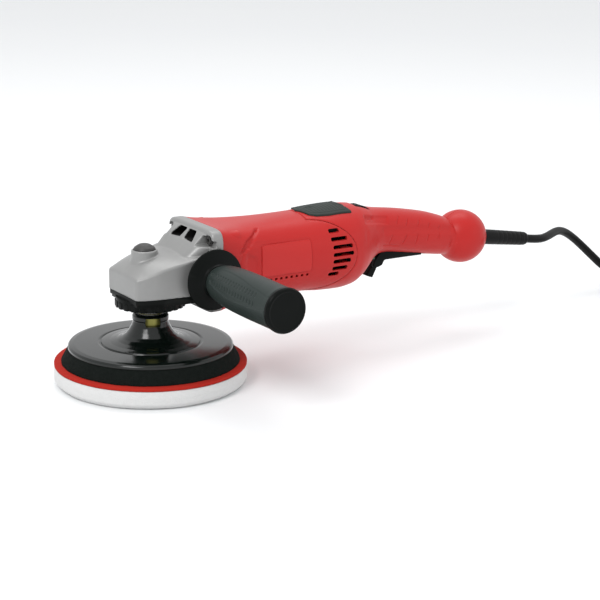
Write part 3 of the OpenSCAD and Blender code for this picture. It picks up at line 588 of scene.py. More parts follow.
def make_motor_housing():
    x = np.concatenate([[47.5, 47.7, 48, 48.4], np.arange(49, 186, 0.85)])
    outer = sunk(section_rings(x, body_table(x), np.linspace(0, 1, 65)), motor_relief)
    housing = tube_solid("motor_housing_shell", outer)
    inner_x = np.array([46.0] + list(np.arange(50, 188, 6)) + [190.0])
    table = body_table(np.maximum(inner_x, 47.5))
    inner = tube_solid("inner", section_rings(inner_x, table, EVEN_QUARTER, 3))
    combine(housing, [inner])
    bridge = prism("bridge", box_outline((-35.2, AXIS_H - 7), (35.2, AXIS_H + 7)), 168, 178.5, "x")
    socket = prism("socket", circle((0, AXIS_H), 13.5), 168.1, 178.4, "x")
    bosses = [prism("boss", circle((y, AXIS_H + z), 5.2, 32), 48, 66, "x")
              for y in (-29, 29) for z in (-27, 27)]
    combine(housing, [bridge, socket] + bosses, "UNION")
    cutters = []
    for height, start, end in VENTS:
        slot = fillet([(start, height - VENT_R), (end, height - VENT_R), (end, height + VENT_R),
                       (start, height + VENT_R)], VENT_R, 6)
        cutters += [prism("slot", lifted(slot), low, low + 16, "y") for low in (-44, 28)]
    for k in range(9):
        dimple = box_outline((88.6 + 5.2 * k, -13.4), (91.0 + 5.2 * k, -11.2), 0.5)
        cutters += [prism("dimple", lifted(dimple), low, low + 15, "y") for low in (-47, 32)]
    cutters += [prism("bore", circle((0, AXIS_H), 11), 170, 180, "x"),
                prism("hole", circle((0, AXIS_H), 9), 160, 171, "x")]
    combine(housing, cutters)
    combine(housing, [prism("side_view", lifted(motor_side_view(0.15)), -60, 60, "y")], "INTERSECT")
    place_piece(housing, "housing", "red_plastic", "motor_housing", mats=["red_plastic", "painted_shade_plastic"])
    # The housing's faces below the surface get painted shade
    paint_shade_inside(housing, 2.3)
    shade(housing, 38)


RIBS = [((240.7, 21.8), (236.3, 16.6)), ((250, 18.7), (246.8, 14.2)), ((262.3, 16), (260, 12)),
        ((274, 12.6), (272, 9.3)), ((286, 9), (284.5, 6.4)), ((231, 6.9), (227.8, -0.4)),
        ((247.2, 5.7), (243.2, -2.1)), ((259.5, 4.3), (257.3, -3.8)), ((271.5, 2.6), (270.2, -2.4)),
        ((284.5, 2.4), (283.6, -1.6)), ((299.4, -5.6), (298.2, -11.5)), ((221.2, -0.7), (240, -4.1))]
VALLEY = [(222, 12.9), (240, 10.9), (261.5, 8.7), (282, 6.2), (299, 3.8)]
NOTCH = np.array([(199, 28.8), (211, 26.0), (209.5, 23.8), (197.8, 26.0)])
STEP = np.array([(198, 27.8), (228, 23.2), (226.5, 17.4), (196.9, 22.9)])


def handle_relief(x, y, z):
    """Depth of the handle's grooves, its parting lines and its step behind the hump."""
    h = z - AXIS_H
    depth = 0.9 * soft_step(to_outline(x, h, STEP), 0.8)
    depth = depth + 1.1 * soft_step(to_outline(x, h, NOTCH), 0.5)
    valley = np.min([to_segment(x, h, a, b) for a, b in zip(VALLEY, VALLEY[1:])], axis=0)
    depth = depth + 0.9 * np.cos(np.clip(valley / 5.5, 0, 1) * math.pi / 2) ** 2
    depth = depth + 0.9 * soft_step(to_segment(x, h, (196, 15), (194.5, 8)) - 1, 4)
    ribs = np.min([to_segment(x, h, a, b) for a, b in RIBS], axis=0)
    depth = depth + 0.75 * soft_step(ribs - 0.35, 0.55)
    depth = depth * (np.abs(y) > 6)
    outside = -to_outline(x, h, motor_side_view())
    depth = np.maximum(depth, rounding(outside, 1.3))
    return np.maximum(depth, rounding(y, 0.7))


HANDLE_SCREWS = [(192, -26, 19), (222, 19.5, 14), (268, 11, 12.5), (292, 4, 12), (322, 7, 14)]
EXIT_SLOPE = math.radians(8.5)
EXIT_DIR = np.array([math.cos(EXIT_SLOPE), 0, -math.sin(EXIT_SLOPE)])
EXIT_FROM = np.array([344, 0, AXIS_H - 11.0])
RELIEF_LEN = 57.0
EXIT_AT = EXIT_FROM + RELIEF_LEN * EXIT_DIR
# Rows that turn a shape about +Z into one about the cord's way out
ALONG_EXIT = [(math.sin(-EXIT_SLOPE), 0, math.cos(EXIT_SLOPE)), (0, 1, 0),
              (-math.cos(EXIT_SLOPE), 0, math.sin(-EXIT_SLOPE))]


def make_handles():
    x = np.concatenate([np.arange(138, 218, 1.0), np.arange(218, BALL_START, 0.6),
                        BALL_X + BALL_R * np.sin(np.radians(np.arange(-43.5, 88, 1.7)))])
    seam = [0.984, 0.989, 0.993, 0.9965, 1]
    fractions = np.concatenate([np.linspace(0, 0.975, 50), seam])
    outer = sunk(section_rings(x, body_table(x), fractions), handle_relief)
    inner_x = np.array([137.0] + list(np.arange(140, 301, 4)) + [BALL_START]
                       + list(BALL_X + BALL_R * np.sin(np.radians(np.arange(-40, 50, 6)))))
    for name, node, low, high in (("handle_left_shell", "handle_left", 0.05, 60),
                                  ("handle_right_shell", "handle_right", -60, -0.05)):
        shell = tube_solid(name, outer)
        inner = tube_solid("inner", section_rings(inner_x, body_table(inner_x), EVEN_QUARTER, 3))
        combine(shell, [inner])
        bosses = [prism("boss", circle((s[0], AXIS_H + s[1]), 4.2, 32), -s[2] - 3, s[2] + 3, "y")
                  for s in HANDLE_SCREWS]
        for boss in bosses:
            limit = tube_solid("limit", section_rings(inner_x, body_table(inner_x), EVEN_QUARTER, 1.5))
            combine(boss, [limit], "INTERSECT")
        combine(shell, bosses, "UNION")
        way_out = turned(prism("way_out", circle((0, 0), 7.25, 48), -12, 40, "z"), EXIT_FROM, ALONG_EXIT)
        cutters = [
            prism("motor", lifted(motor_side_view(-0.15)), -61, 61, "y"),
            prism("dial_slot", box_outline((197, -9.8), (213, 9.8), 1.5), AXIS_H + 10, AXIS_H + 50, "z"),
            prism("paddle_slot", box_outline((216, -9.6), (276, 9.6), 1.2), AXIS_H - 50, AXIS_H - 3, "z"),
            way_out,
            prism("pivot", circle(PIVOT, 2.2, 32), -12.6, 12.6, "y")]
        for x_screw, height, seat in HANDLE_SCREWS:
            centre = (x_screw, AXIS_H + height)
            if node == "handle_left":
                cutters.append(prism("seat", circle(centre, 3.7, 40), seat, 50, "y"))
                cutters.append(prism("hole", circle(centre, 1.9, 24), -1, seat + 1, "y"))
            else:
                cutters.append(prism("hole", circle(centre, 1.75, 24), -12, 1, "y"))
        cut_each(shell, cutters)
        combine(shell, [prism("half", box_outline((100, 0), (400, 200)), low, high, "y")], "INTERSECT")
        place_piece(shell, "housing", "red_plastic", node, mats=["red_plastic", "painted_shade_plastic"])
        # The shell's faces below the surface get painted shade
        paint_shade_inside(shell, 2.2)
        shade(shell, 38)


def make_badge():
    x = np.arange(78, 139, 1.0)
    rings = section_rings(x, body_table(x), np.linspace(0, 1, 49))
    outline = box_outline((PANEL_LOW[0] + 0.5, PANEL_LOW[1] + 0.5),
                          (PANEL_HIGH[0] - 0.5, PANEL_HIGH[1] - 0.5), 1.8)

    def raised(px, py, pz):
        edge = to_outline(px, pz - AXIS_H, outline)
        frame_line = np.abs(edge + 2.2)
        return -0.45 + rounding(edge, 0.5) + 0.16 * soft_step(frame_line - 0.25, 0.3)

    badge = tube_solid("badge_panel", sunk(rings, raised))
    inner = tube_solid("inner", section_rings(np.array([70.0] + list(x[1:-1]) + [150]), body_table(x),
                                              np.linspace(0, 1, 49), 0.4))
    combine(badge, [inner])
    combine(badge, [prism("panel", lifted(outline), -60, 0, "y")], "INTERSECT")
    place_piece(badge, "housing", "red_badge", "badge_plate")
    shade(badge)


PAD_OUTLINE = [(140.5, 0, 0.8), (145.5, -14.5, 3), (151.5, -18, 3), (163, -19.6, 3), (187, -19.4, 1.2),
               (184, -9, 3), (184, 9, 3), (187, 19.4, 1.2), (163, 19.6, 3), (151.5, 18, 3),
               (145.5, 14.5, 3)]


def make_top_pad():
    x = np.arange(139, 196, 0.7)
    table = body_table(x)
    rings = section_rings(x, table, np.linspace(0, 1, 90))
    outline = fillet(PAD_OUTLINE, 2)

    def raised(px, py, pz):
        edge = to_outline(px, py, outline)
        line = np.abs(edge + 3.2)
        field = soft_step(edge + 5, 0.8)
        ribs = 0.35 * (0.5 + 0.5 * np.cos(px * 2 * math.pi / 3.2)) * field
        ridge = 0.5 * soft_step(to_segment(px, np.abs(py), (178, 3), (189, 12)) - 0.8, 0.8)
        bump = 0.9 * soft_step(np.hypot((px - 155) / 1.6, py) - 1.8, 1.2)
        return -1.4 + rounding(edge, 1.0) + 0.4 * soft_step(line - 0.35, 0.4) + ribs - ridge - bump

    pad = tube_solid("top_pad", sunk(rings, raised))
    inner = tube_solid("inner", section_rings(np.array([136.0] + list(x[1:-1]) + [200]), table,
                                              np.linspace(0, 1, 90), 0.3))
    combine(pad, [inner])
    combine(pad, [prism("outline", outline, AXIS_H, AXIS_H + 60, "z")], "INTERSECT")
    place_piece(pad, "housing", "grip_rubber", "top_grip_pad")
    shade(pad, 50)


# ---- Cord ----

ROUTE = [tuple(EXIT_AT), tuple(EXIT_AT + 12 * EXIT_DIR), (424, 2.5, 71.4), (436, 8, 71), (448, 15, 70.8),
         (460, 22, 70.3), (472, 28, 68), (484, 32, 63), (496, 34, 55.5), (508, 34, 46), (519, 32, 36),
         (530, 29, 26), (542, 24.5, 17), (555, 18.5, 10.5), (568, 12.5, 6.5), (580.5, 6.5, 5.2),
         (593, 0.5, 5.2)]
CORD_D = 8.0
COIL_AT = np.array([578.0, -66.0])
COIL_LIFT = 1.2
PLUG_AT = np.array([COIL_AT[0] + 12, COIL_AT[1] + 38, COIL_LIFT + 3 * CORD_D + 13])


def through(points, step):
    """Points at an even step along a smooth curve through the given ones."""
    points = np.array(points, float)
    length = np.concatenate([[0], np.cumsum(np.linalg.norm(np.diff(points, axis=0), axis=1))])
    tangent = np.gradient(points, length, axis=0)
    at = np.linspace(0, length[-1], max(2, int(length[-1] / step)))
    return hermite(length, points, tangent, at)


def coil_points():
    """The coil's 12 turns: three layers of four, wound inwards, outwards and inwards again."""
    inner, step = 38.0, CORD_D
    radii = [inner + step * k for k in (3, 2, 1, 0, 0, 1, 2, 3, 3, 2, 1, 0)]
    heights = [COIL_LIFT + CORD_D / 2 + CORD_D * layer for layer in (0,) * 4 + (1,) * 4 + (2,) * 4]
    start = math.degrees(math.atan2(ROUTE[-1][1] - COIL_AT[1], ROUTE[-1][0] - COIL_AT[0]))
    first_radius = math.hypot(ROUTE[-1][1] - COIL_AT[1], ROUTE[-1][0] - COIL_AT[0])
    window = 55.0
    points = []
    for turned_by in np.arange(5, 360 * 12 - (90 - start), 5):
        turn = int(turned_by // 360)
        within = turned_by % 360
        before = (first_radius, ROUTE[-1][2]) if turn == 0 else (radii[turn - 1], heights[turn - 1])
        share = min(within / window, 1)
        share = share * share * (3 - 2 * share)
        radius = before[0] + (radii[turn] - before[0]) * share
        height = before[1] + (heights[turn] - before[1]) * share
        left = 360 * 12 - (90 - start) - turned_by
        if left < 170:
            rise = 1 - left / 170
            height += (PLUG_AT[2] - heights[-1]) * rise * rise * (3 - 2 * rise)
        angle = math.radians(start - turned_by)
        points.append((COIL_AT[0] + radius * math.cos(angle), COIL_AT[1] + radius * math.sin(angle),
                       height))
    rear = PLUG_AT[0] - 12
    return points + [(rear, PLUG_AT[1], PLUG_AT[2]), (rear + 8, PLUG_AT[1], PLUG_AT[2])]


def make_cord():
    line = np.vstack([through(ROUTE, 4)[:-1], through([ROUTE[-1]] + coil_points(), 4)])
    data = bpy.data.curves.new("supply_cord", "CURVE")
    data.dimensions = "3D"
    data.bevel_depth = CORD_D / 2 * MM
    data.bevel_resolution = 5
    data.use_fill_caps = True
    spline = data.splines.new("POLY")
    spline.points.add(len(line) - 1)
    spline.points.foreach_set("co", np.column_stack([line * MM, np.ones(len(line))]).ravel())
    spline.use_smooth = True
    cord = bpy.data.objects.new("supply_cord", data)
    scene.collection.objects.link(cord)
    place_piece(cord, "housing", "cord_rubber", "cord_run", "cord_coil")
    return cord


def make_plug():
    profile = fillet([(0, -12, 0), (5.6, -12), (6, -6), (7.5, 4), (13, 14), (18, 20), (18, 34), (16.6, 36),
                      (0, 36, 0)],
                     2.0, closed=False)
    plug = lathe("plug_shell", profile, 96)
    plug = turned(plug, PLUG_AT, [(0, 0, 1), (0, 1, 0), (-1, 0, 0)])
    top = prism("top", box_outline((PLUG_AT[0] - 20, PLUG_AT[1] - 20), (PLUG_AT[0] + 60, PLUG_AT[1] + 20)),
                PLUG_AT[2] - 13, PLUG_AT[2] + 13, "z")
    combine(plug, [top], "INTERSECT")
    grooves = [prism("groove", box_outline((PLUG_AT[0] + at, side * 12.2 + PLUG_AT[2] - 1.2),
                                           (PLUG_AT[0] + at + 1.6, side * 12.2 + PLUG_AT[2] + 1.2), 0.5),
                     PLUG_AT[1] - 8, PLUG_AT[1] + 8, "y") for at in (21, 25, 29) for side in (-1, 1)]
    combine(plug, grooves)
    bevelled(plug, 0.5, 2, 40)
    place_piece(plug, "housing", "black_plastic", "plug_body")
    pins = []
    for y in (-9.5, 9.5):
        shape = fillet([(0, 36, 0), (2.4, 36, 0), (2.4, 54), (1.2, 55), (0, 55, 0)], 0.8, closed=False)
        pins.append(turned(lathe("pin", shape, 40), PLUG_AT + np.array([0, y, 0]),
                           [(0, 0, 1), (0, 1, 0), (-1, 0, 0)]))
    combine(pins[0], pins[1:], "UNION")
    pins[0].name = "plug_contacts"
    shade(pins[0])
    place_piece(pins[0], "housing", "chrome", "plug_pins")
    return plug, pins[0]


def make_tie():
    x, y = COIL_AT[0] - 50, COIL_AT[1]
    outer = fillet([(x - 17.4, 0), (x + 17.4, 0), (x + 17.4, 26.4), (x - 17.4, 26.4)], 3, 6)
    inner = fillet([(x - 16.2, 1.1), (x + 16.4, 1.1), (x + 16.4, 25.3), (x - 16.2, 25.3)], 3, 6)
    tie = prism("tie_strap", outer, y - 6, y + 6, "y")
    combine(tie, [prism("hollow", inner, y - 7, y + 7, "y")])
    lock = prism("lock", box_outline((x + 15.9, 9), (x + 17.6, 19), 0.6), y - 4.4, y + 4.4, "y")
    combine(tie, [lock], "UNION")
    bevelled(tie, 0.25, 2, 40)
    place_piece(tie, "housing", "tie_plastic", "cord_tie")
    return tie


def make_strain_relief():
    steps = [(4.0, -14), (9.5, -14), (9.5, -11), (7, -11), (7, 6), (7, 14)]
    rings = []
    for k in range(7):
        at = 16 + 5.4 * k
        radius = 7 - 0.7 * (at - 14) / 43
        rings += [(radius, at), (radius, at + 3.2), (radius - 0.2, at + 3.7), (radius - 0.2, at + 4.9)]
    end = [(6.25, RELIEF_LEN - 2), (5.6, RELIEF_LEN), (CORD_D / 2 + 0.02, RELIEF_LEN),
           (CORD_D / 2 + 0.02, -14)]
    profile = fillet(steps + rings + end, 0.3, 2)
    relief = turned(lathe("strain_relief_boot", profile, 72, closed=True), EXIT_FROM, ALONG_EXIT)
    shade(relief, 50)
    place_piece(relief, "housing", "cord_rubber", "strain_relief")


# ---- Pad and plate ----

PLATE_R = 68.3


def make_plate():
    profile = [(10.6, 30, 0), (PLATE_R, 30, 0.4), (PLATE_R, 32, 0.8), (PLATE_R - 1.2, 33.4, 1.2),
               (PLATE_R - 5, 34.05, 2), (44, 34.6, 0.8), (42.9, 34.4, 0.4), (42.2, 33.7, 0.4),
               (41.2, 33.7, 0.4), (40.6, 34.9, 0.5), (34, 35.6, 5), (28, 36.8, 6), (23.6, 38.6, 5),
               (20.5, 41.2, 5), (18, 44.6, 5), (15.8, 48.6, 6), (14.6, 52, 2.5), (14.45, 53, 0.5),
               (15.1, 53.7, 0.8), (15.1, 56.8, 1.5), (13.6, 59, 1.2), (10.6, 59, 0.4)]
    plate = lathe("backing_plate_disc", fillet(profile, 1, 6), 256, closed=True)
    windows = []
    for angle in (71, 251):
        a = math.radians(angle)
        window = prism("window", box_outline((-6.2, 49.8), (6.2, 56.8), 0.8), 6, 40, "x")
        about_z = [(math.cos(a), -math.sin(a), 0), (math.sin(a), math.cos(a), 0), (0, 0, 1)]
        windows.append(turned(window, (0, 0, 0), about_z))
    combine(plate, windows)
    shade(plate, 40)
    place_piece(plate, "spindle", "plate_plastic", "backing_plate")


def foam_bumps(amount, scale, points):
    """Gentle unevenness of cut foam, from a few waves."""
    total = np.zeros(len(points))
    for k in range(6):
        direction = rng.normal(size=3)
        direction *= scale / np.linalg.norm(direction) * (0.7 + 0.6 * rng.random())
        total += np.sin(points @ direction + 6.28 * rng.random())
    return amount * total / 6


def make_foam():
    cone = fillet([(12, 18.4, 0), (74.4, 18.4, 0.6), (73.9, 19.8, 0.8), (71.2, 24.5, 8), (68.7, 29.2, 0.8),
                   (67.8, 30, 0.3), (12, 30, 0)], 1, 8)
    dense = np.vstack([np.linspace(a, b, max(2, int(np.hypot(*(b - a)) / 0.9)), endpoint=False)
                       for a, b in zip(cone, np.roll(cone, -1, axis=0))])
    cushion = lathe("cushion_foam_cone", dense, 420, closed=True)

    def rough(points):
        rim = soft_step(66 - np.hypot(points[:, 0], points[:, 1]), 2)
        pits = np.maximum(foam_bumps(1.0, 2.4, points) + foam_bumps(0.8, 3.6, points), 0)
        return rim * (foam_bumps(0.25, 0.5, points) - 0.55 * pits - 0.1)

    grow(cushion, rough)
    shade(cushion, 180)
    place_piece(cushion, "spindle", "black_foam", "cushion_foam")

    disc = fillet([(12, 15.7, 0), (80, 15.7, 0.7), (80, 18.4, 0.8), (12, 18.4, 0)], 0.7, 4)
    dense = np.vstack([np.linspace(a, b, max(2, int(np.hypot(*(b - a)) / 1.2)), endpoint=False)
                       for a, b in zip(disc, np.roll(disc, -1, axis=0))])
    hooks = lathe("hook_loop_disc", dense, 360, closed=True)
    grow(hooks, lambda p: soft_step(74 - np.hypot(p[:, 0], p[:, 1]), 1) * (foam_bumps(0.12, 1.6, p) - 0.08))
    shade(hooks, 60)
    place_piece(hooks, "spindle", "red_hook", "hook_disc")

    rim = [(0, 0, 0), (76.2, 0, 3.8), (80, 4, 3.8), (80.15, 10, 6), (79.7, 15.7, 0.5), (0, 15.7, 0)]
    outline = fillet(rim, 2, 8, closed=False)
    dense = np.vstack([np.linspace(a, b, max(2, int(np.hypot(*(b - a)) / 1.1)), endpoint=False)
                       for a, b in zip(outline, outline[1:])] + [outline[-1:]])
    pad = lathe("polishing_foam_pad", dense, 400)

    def uneven(points):
        side = soft_step(6 - np.abs(points[:, 2] - 8.5), 4)
        edge = soft_step(70 - np.hypot(points[:, 0], points[:, 1]), 3)
        bumps = foam_bumps(0.35, 0.12, points) + foam_bumps(0.12, 0.9, points) - 0.25
        return edge * bumps * (0.6 + 0.4 * side)

    grow(pad, uneven)
    shade(pad, 180)
    place_piece(pad, "spindle", "white_foam", "polishing_pad")


# ---- Gear head ----

# Along the gear head: x, half width, height of the top edge, height of the crown above the edge
HEAD = [
    (-25.6, 23.4, 0.0, 0.3), (-25.2, 24.4, 0.1, 0.7), (-24.2, 25.4, 0.3, 1.6), (-22.5, 26.3, 0.6, 2.9),
    (-19.3, 27.8, 1.3, 4.8), (-13.5, 29.5, 3.2, 7.0), (-9.8, 30.4, 4.5, 7.5), (-3.2, 31.3, 6.9, 7.0),
    (7.1, 32.3, 9.6, 5.6), (17.5, 33.3, 11.8, 3.8), (23, 33.7, 13.2, 3.2), (40, 34.8, 16, 3.0)]
HEAD_FRONT = -25.6
EDGE_R = 1.5
BELL = [
    (16.5, 26.6, 12.6, 16, 7), (18.5, 27.4, 14.9, 18, 7), (22, 28.6, 18.2, 20, 7), (28, 30.6, 24.0, 25, 7),
    (33, 32.2, 28.8, 29, 7), (36.5, 33.2, 32.0, 31, 7), (39.5, 33.6, 33.0, 32, 7)]
BELL_FOOT, BELL_SLOPE = (18.4, 14.6), 0.957
HEAD_WINDOW = [(2.9, 24.7), (1.3, 31.5), (13.9, 31.5), (18.9, 23.7)]
BASE_Z = AXIS_H - 17
PLATE_SCREW_R = 24.6
PLATE_SCREWS = [(PLATE_SCREW_R * math.cos(math.radians(a)), PLATE_SCREW_R * math.sin(math.radians(a)))
                for a in (45, 135, 225, 315)]
SIDE_X, SIDE_Z = 37.0, AXIS_H - 3
BOSS_X, BOSS_TOP = -5.0, AXIS_H + 18.5


def table_rings(table, step):
    table = np.array(table, float)
    x = np.arange(table[0, 0], table[-1, 0] + 1e-6, step)
    return section_rings(x, smooth_curve(table, x), np.linspace(0, 1, 41))


def head_rings():
    """The gear head's body: flat walls and front, a domed top, and a rounded edge between them."""
    x = np.concatenate([HEAD_FRONT + EDGE_R * np.array([0, 0.08, 0.25, 0.5, 0.75, 1]),
                        np.arange(-23.4, 40.2, 0.8)])
    half, edge, crown = smooth_curve(HEAD, x).T[:, :, None]
    turn = np.radians(np.linspace(0, 90, 7))
    flat = np.linspace(1, -1, 31)[None, :] * (half - EDGE_R)
    near_edge = half - EDGE_R * (1 - np.cos(turn))
    y = np.concatenate([near_edge[:, :-1], flat, -near_edge[:, -2::-1]], axis=1)
    fall = EDGE_R * (1 - np.sin(turn[:-1]))
    side_drop = np.concatenate([fall, np.zeros(31), fall[::-1]])[None, :]
    into_front = np.clip((HEAD_FRONT + EDGE_R - x) / EDGE_R, 0, 1)[:, None]
    front_drop = EDGE_R * (1 - np.sqrt(1 - into_front ** 2))
    h = edge + crown * (1 - (y / half) ** 2) - side_drop - front_drop
    y = np.concatenate([y, -half, half], axis=1)
    h = np.concatenate([h, np.full_like(half, -20), np.full_like(half, -20)], axis=1)
    return np.stack([np.broadcast_to(x[:, None], y.shape), y, AXIS_H + h], -1)


def rounded_box_rings(x, half_y, half_z, square=9.0):
    table = np.array([(half_y[k], half_z[k], half_z[k], square) for k in range(len(x))], float)
    return section_rings(np.array(x, float), table, np.linspace(0, 1, 33))


def make_gear_head():
    head = tube_solid("gear_head_casting", head_rings())
    combine(head, [prism("below", box_outline((-60, -60), (29, 60)), 20, BASE_Z, "z")])
    bell = tube_solid("bell", table_rings(BELL, 1.0))
    flange_rings = rounded_box_rings([37.6, 38.1, 39.4, 46.4, 47.5], [36.4, 37.7, 38.4, 38.4, 38.1],
                                     [32.8, 34.0, 34.8, 34.8, 34.5])
    flange = tube_solid("flange", flange_rings + np.array([0, 0, 0.7]))
    skirt = tube_solid("skirt", table_rings([(27, 31, 4, 17, 5), (31, 33, 8, 25, 5), (35, 35, 10, 31, 6),
                                             (39, 36, 12, 32.5, 6)], 1.0))
    boss_profile = fillet([(0, 94, 0), (12.8, 94, 0), (12.4, 101.5, 2), (10.9, 106.0, 2.5),
                           (10.7, 112.0, 0.5), (10.2, 112.5, 0.4), (0, 112.5, 0)], 1, 6, closed=False)
    boss = turned(lathe("boss", boss_profile, 96), (BOSS_X, 0, 0), np.eye(3))
    parts = [bell, flange, skirt, boss]
    for side in (-1, 1):
        port = lathe("port", fillet([(0, 20, 0), (18, 20, 0), (16, 34.6, 3), (11.4, 36.6, 2),
                                     (10.8, 39.5, 0.4), (0, 39.5, 0)], 1, 6, closed=False), 72)
        parts.append(turned(port, (SIDE_X, 0, SIDE_Z), [(1, 0, 0), (0, 0, side), (0, 1, 0)]))
    for part in parts:
        combine(head, [part], "UNION")
    cutters = []
    for side in (-1, 1):
        window = fillet([(side * y, h) for y, h in HEAD_WINDOW], 0.8, 4)
        cutters.append(prism("window", lifted(window), 20, 44.5, "x"))
        for top in (-1, 1):
            pocket = fillet([(side * 24.2, 22.4), (side * 24.6, 30.6), (side * 33.6, 31.2),
                             (side * 36.4, 27.5), (side * 44, 26.5), (side * 44, 21.8)], 1, 4) * [1, top]
            cutters.append(prism("pocket", lifted(pocket), 20, 41.3, "x"))
    cut_each(head, cutters)
    remesh = head.modifiers.new("remesh", "REMESH")
    remesh.mode = "VOXEL"
    remesh.voxel_size = 0.6 * MM
    remesh.adaptivity = 0
    relax = head.modifiers.new("relax", "SMOOTH")
    relax.factor = 0.5
    relax.iterations = 3
    bake(head)
    grow(head, lambda p: np.full(len(p), 0.08))
    cutters = [
        prism("chamber", circle((0, 0), 22.3, 96), BASE_Z - 6, AXIS_H - 3.5, "z"),
        prism("tunnel", circle((0, AXIS_H), 9.6), 9, 25, "x"),
        prism("bearing", circle((0, AXIS_H), 11.02), 24, 31, "x"),
        prism("shaft", circle((0, AXIS_H), 7), 30, 34, "x"),
        prism("planets", circle((0, AXIS_H), 21.02, 96), 33, 52, "x"),
        prism("spindle_top", circle((0, 0), 6.52), AXIS_H - 4.5, AXIS_H + 8, "z"),
        prism("well", circle((BOSS_X, 0), 9.4, 72), AXIS_H + 10, BOSS_TOP + 6, "z"),
        prism("pin_hole", circle((-10.5, 0), 2.3), AXIS_H - 4.5, BOSS_TOP, "z"),
        prism("flat_bottom", box_outline((-60, -60), (28.5, 60)), 30, BASE_Z + 0.02, "z"),
        prism("flat_back", box_outline((-60, 0), (60, 200)), 47.48, 60, "x"),
        prism("flat_near", circle((SIDE_X, SIDE_Z), 14), -60, -39.5, "y"),
        prism("flat_far", circle((SIDE_X, SIDE_Z), 14), 39.5, 60, "y"),
        prism("near_thread", circle((SIDE_X, SIDE_Z), 4.0), -60, -24, "y"),
        prism("far_thread", circle((SIDE_X, SIDE_Z), 4.0), 25, 60, "y")]
    for side in (-1, 1):
        for z in (-27, 27):
            cutters.append(prism("screw_hole", circle((side * 29.5, AXIS_H + z), 2.2, 24), 38, 60, "x"))
    for centre in PLATE_SCREWS:
        cutters.append(prism("plate_screw", circle(centre, 1.7, 24), BASE_Z - 1, BASE_Z + 6.5, "z"))
    cut_each(head, cutters)
    place_piece(head, "housing", "cast_alloy", "gear_head", mats=["cast_alloy", "painted_shade_plastic"])
    # Behind the windows the faces get painted shade, for the dark of the fan chamber
    centres = np.array([p.center for p in head.data.polygons]) / MM
    height = centres[:, 2] - AXIS_H
    slope_x = BELL_FOOT[0] + (height - BELL_FOOT[1]) / BELL_SLOPE
    inside = to_outline(np.abs(centres[:, 1]), height, np.array(HEAD_WINDOW)) < 0.5
    shaded_faces = inside & (centres[:, 0] > slope_x + 1.3) & (centres[:, 0] < 45) & (height > 20)
    for polygon, value in zip(head.data.polygons, shaded_faces):
        polygon.material_index = int(value)
    shade(head, 40)


def make_lock_button():
    profile = fillet([(0, 109.4, 0), (9.1, 109.4, 0.4), (9.1, 113.3, 0.6),
                      (8.2, 114.6, 2), (4.6, 117.0, 6), (0, 117.9, 0)],
                     1, 8, closed=False)
    button = turned(lathe("lock_button_cap", profile, 96), (BOSS_X, 0, 0), np.eye(3))
    combine(button, [prism("pin_socket", circle((-10.5, 0), 1.95, 24), 108, 112, "z")])
    shade(button, 40)
    place_piece(button, "lock_button", "button_plastic", "lock_button")


def make_bearing_plate():
    front = [(x, half) for x, half, *rest in HEAD if x < 25]
    plan = np.array([(x, -half) for x, half in front] + [(28.3, -34.4), (28.3, 34.4)]
                    + [(x, half) for x, half in reversed(front)])
    plan = fillet((plan - [2, 0]) * 0.985 + [2, 0], 1.5, 3)
    plate = prism("bearing_plate_cover", plan, 73.2, 77, "z")
    rounds = lathe("rounds", fillet([(8, 64.3, 0), (24.6, 64.3, 0.6), (25.4, 65.2, 0.4), (28.0, 65.4, 1.2),
                                     (28.6, 67, 0.6), (28.6, 73.8, 0), (8, 73.8, 0)], 0.5, 3), 160,
                   closed=True)
    parts = [prism("step", (plan - [1.5, 0]) * 0.955 + [1.5, 0], 70.6, 73.4, "z"), rounds]
    for k in range(24):
        a = math.radians(15 * k + 4)
        lug = box_outline((26.4, -2.3), (29.2, 2.3), 0.7)
        lug = lug @ np.array([[math.cos(a), math.sin(a)], [-math.sin(a), math.cos(a)]])
        parts.append(prism("lug", lug, 65.6, 70.9, "z"))
    for part in parts:
        combine(plate, [part], "UNION")
    cutters = [prism("way", circle((0, 0), 9, 72), 60, 80, "z"),
               prism("bearing", circle((0, 0), 14.02, 72), 69.5, 80, "z")]
    for centre in PLATE_SCREWS:
        cutters += [prism("seat", circle(centre, 3.3, 40), 60, 68.3, "z"),
                    prism("hole", circle(centre, 1.8, 24), 60, 80, "z")]
    cut_each(plate, cutters)
    bevelled(plate, 0.3, 2, 40)
    place_piece(plate, "housing", "black_plastic", "bearing_plate")


# ---- Side handle ----

# Rows that turn a shape about +Z into one about the side handle's axis, which points along -Y
SIDEWAYS = [(1, 0, 0), (0, 0, -1), (0, 1, 0)]


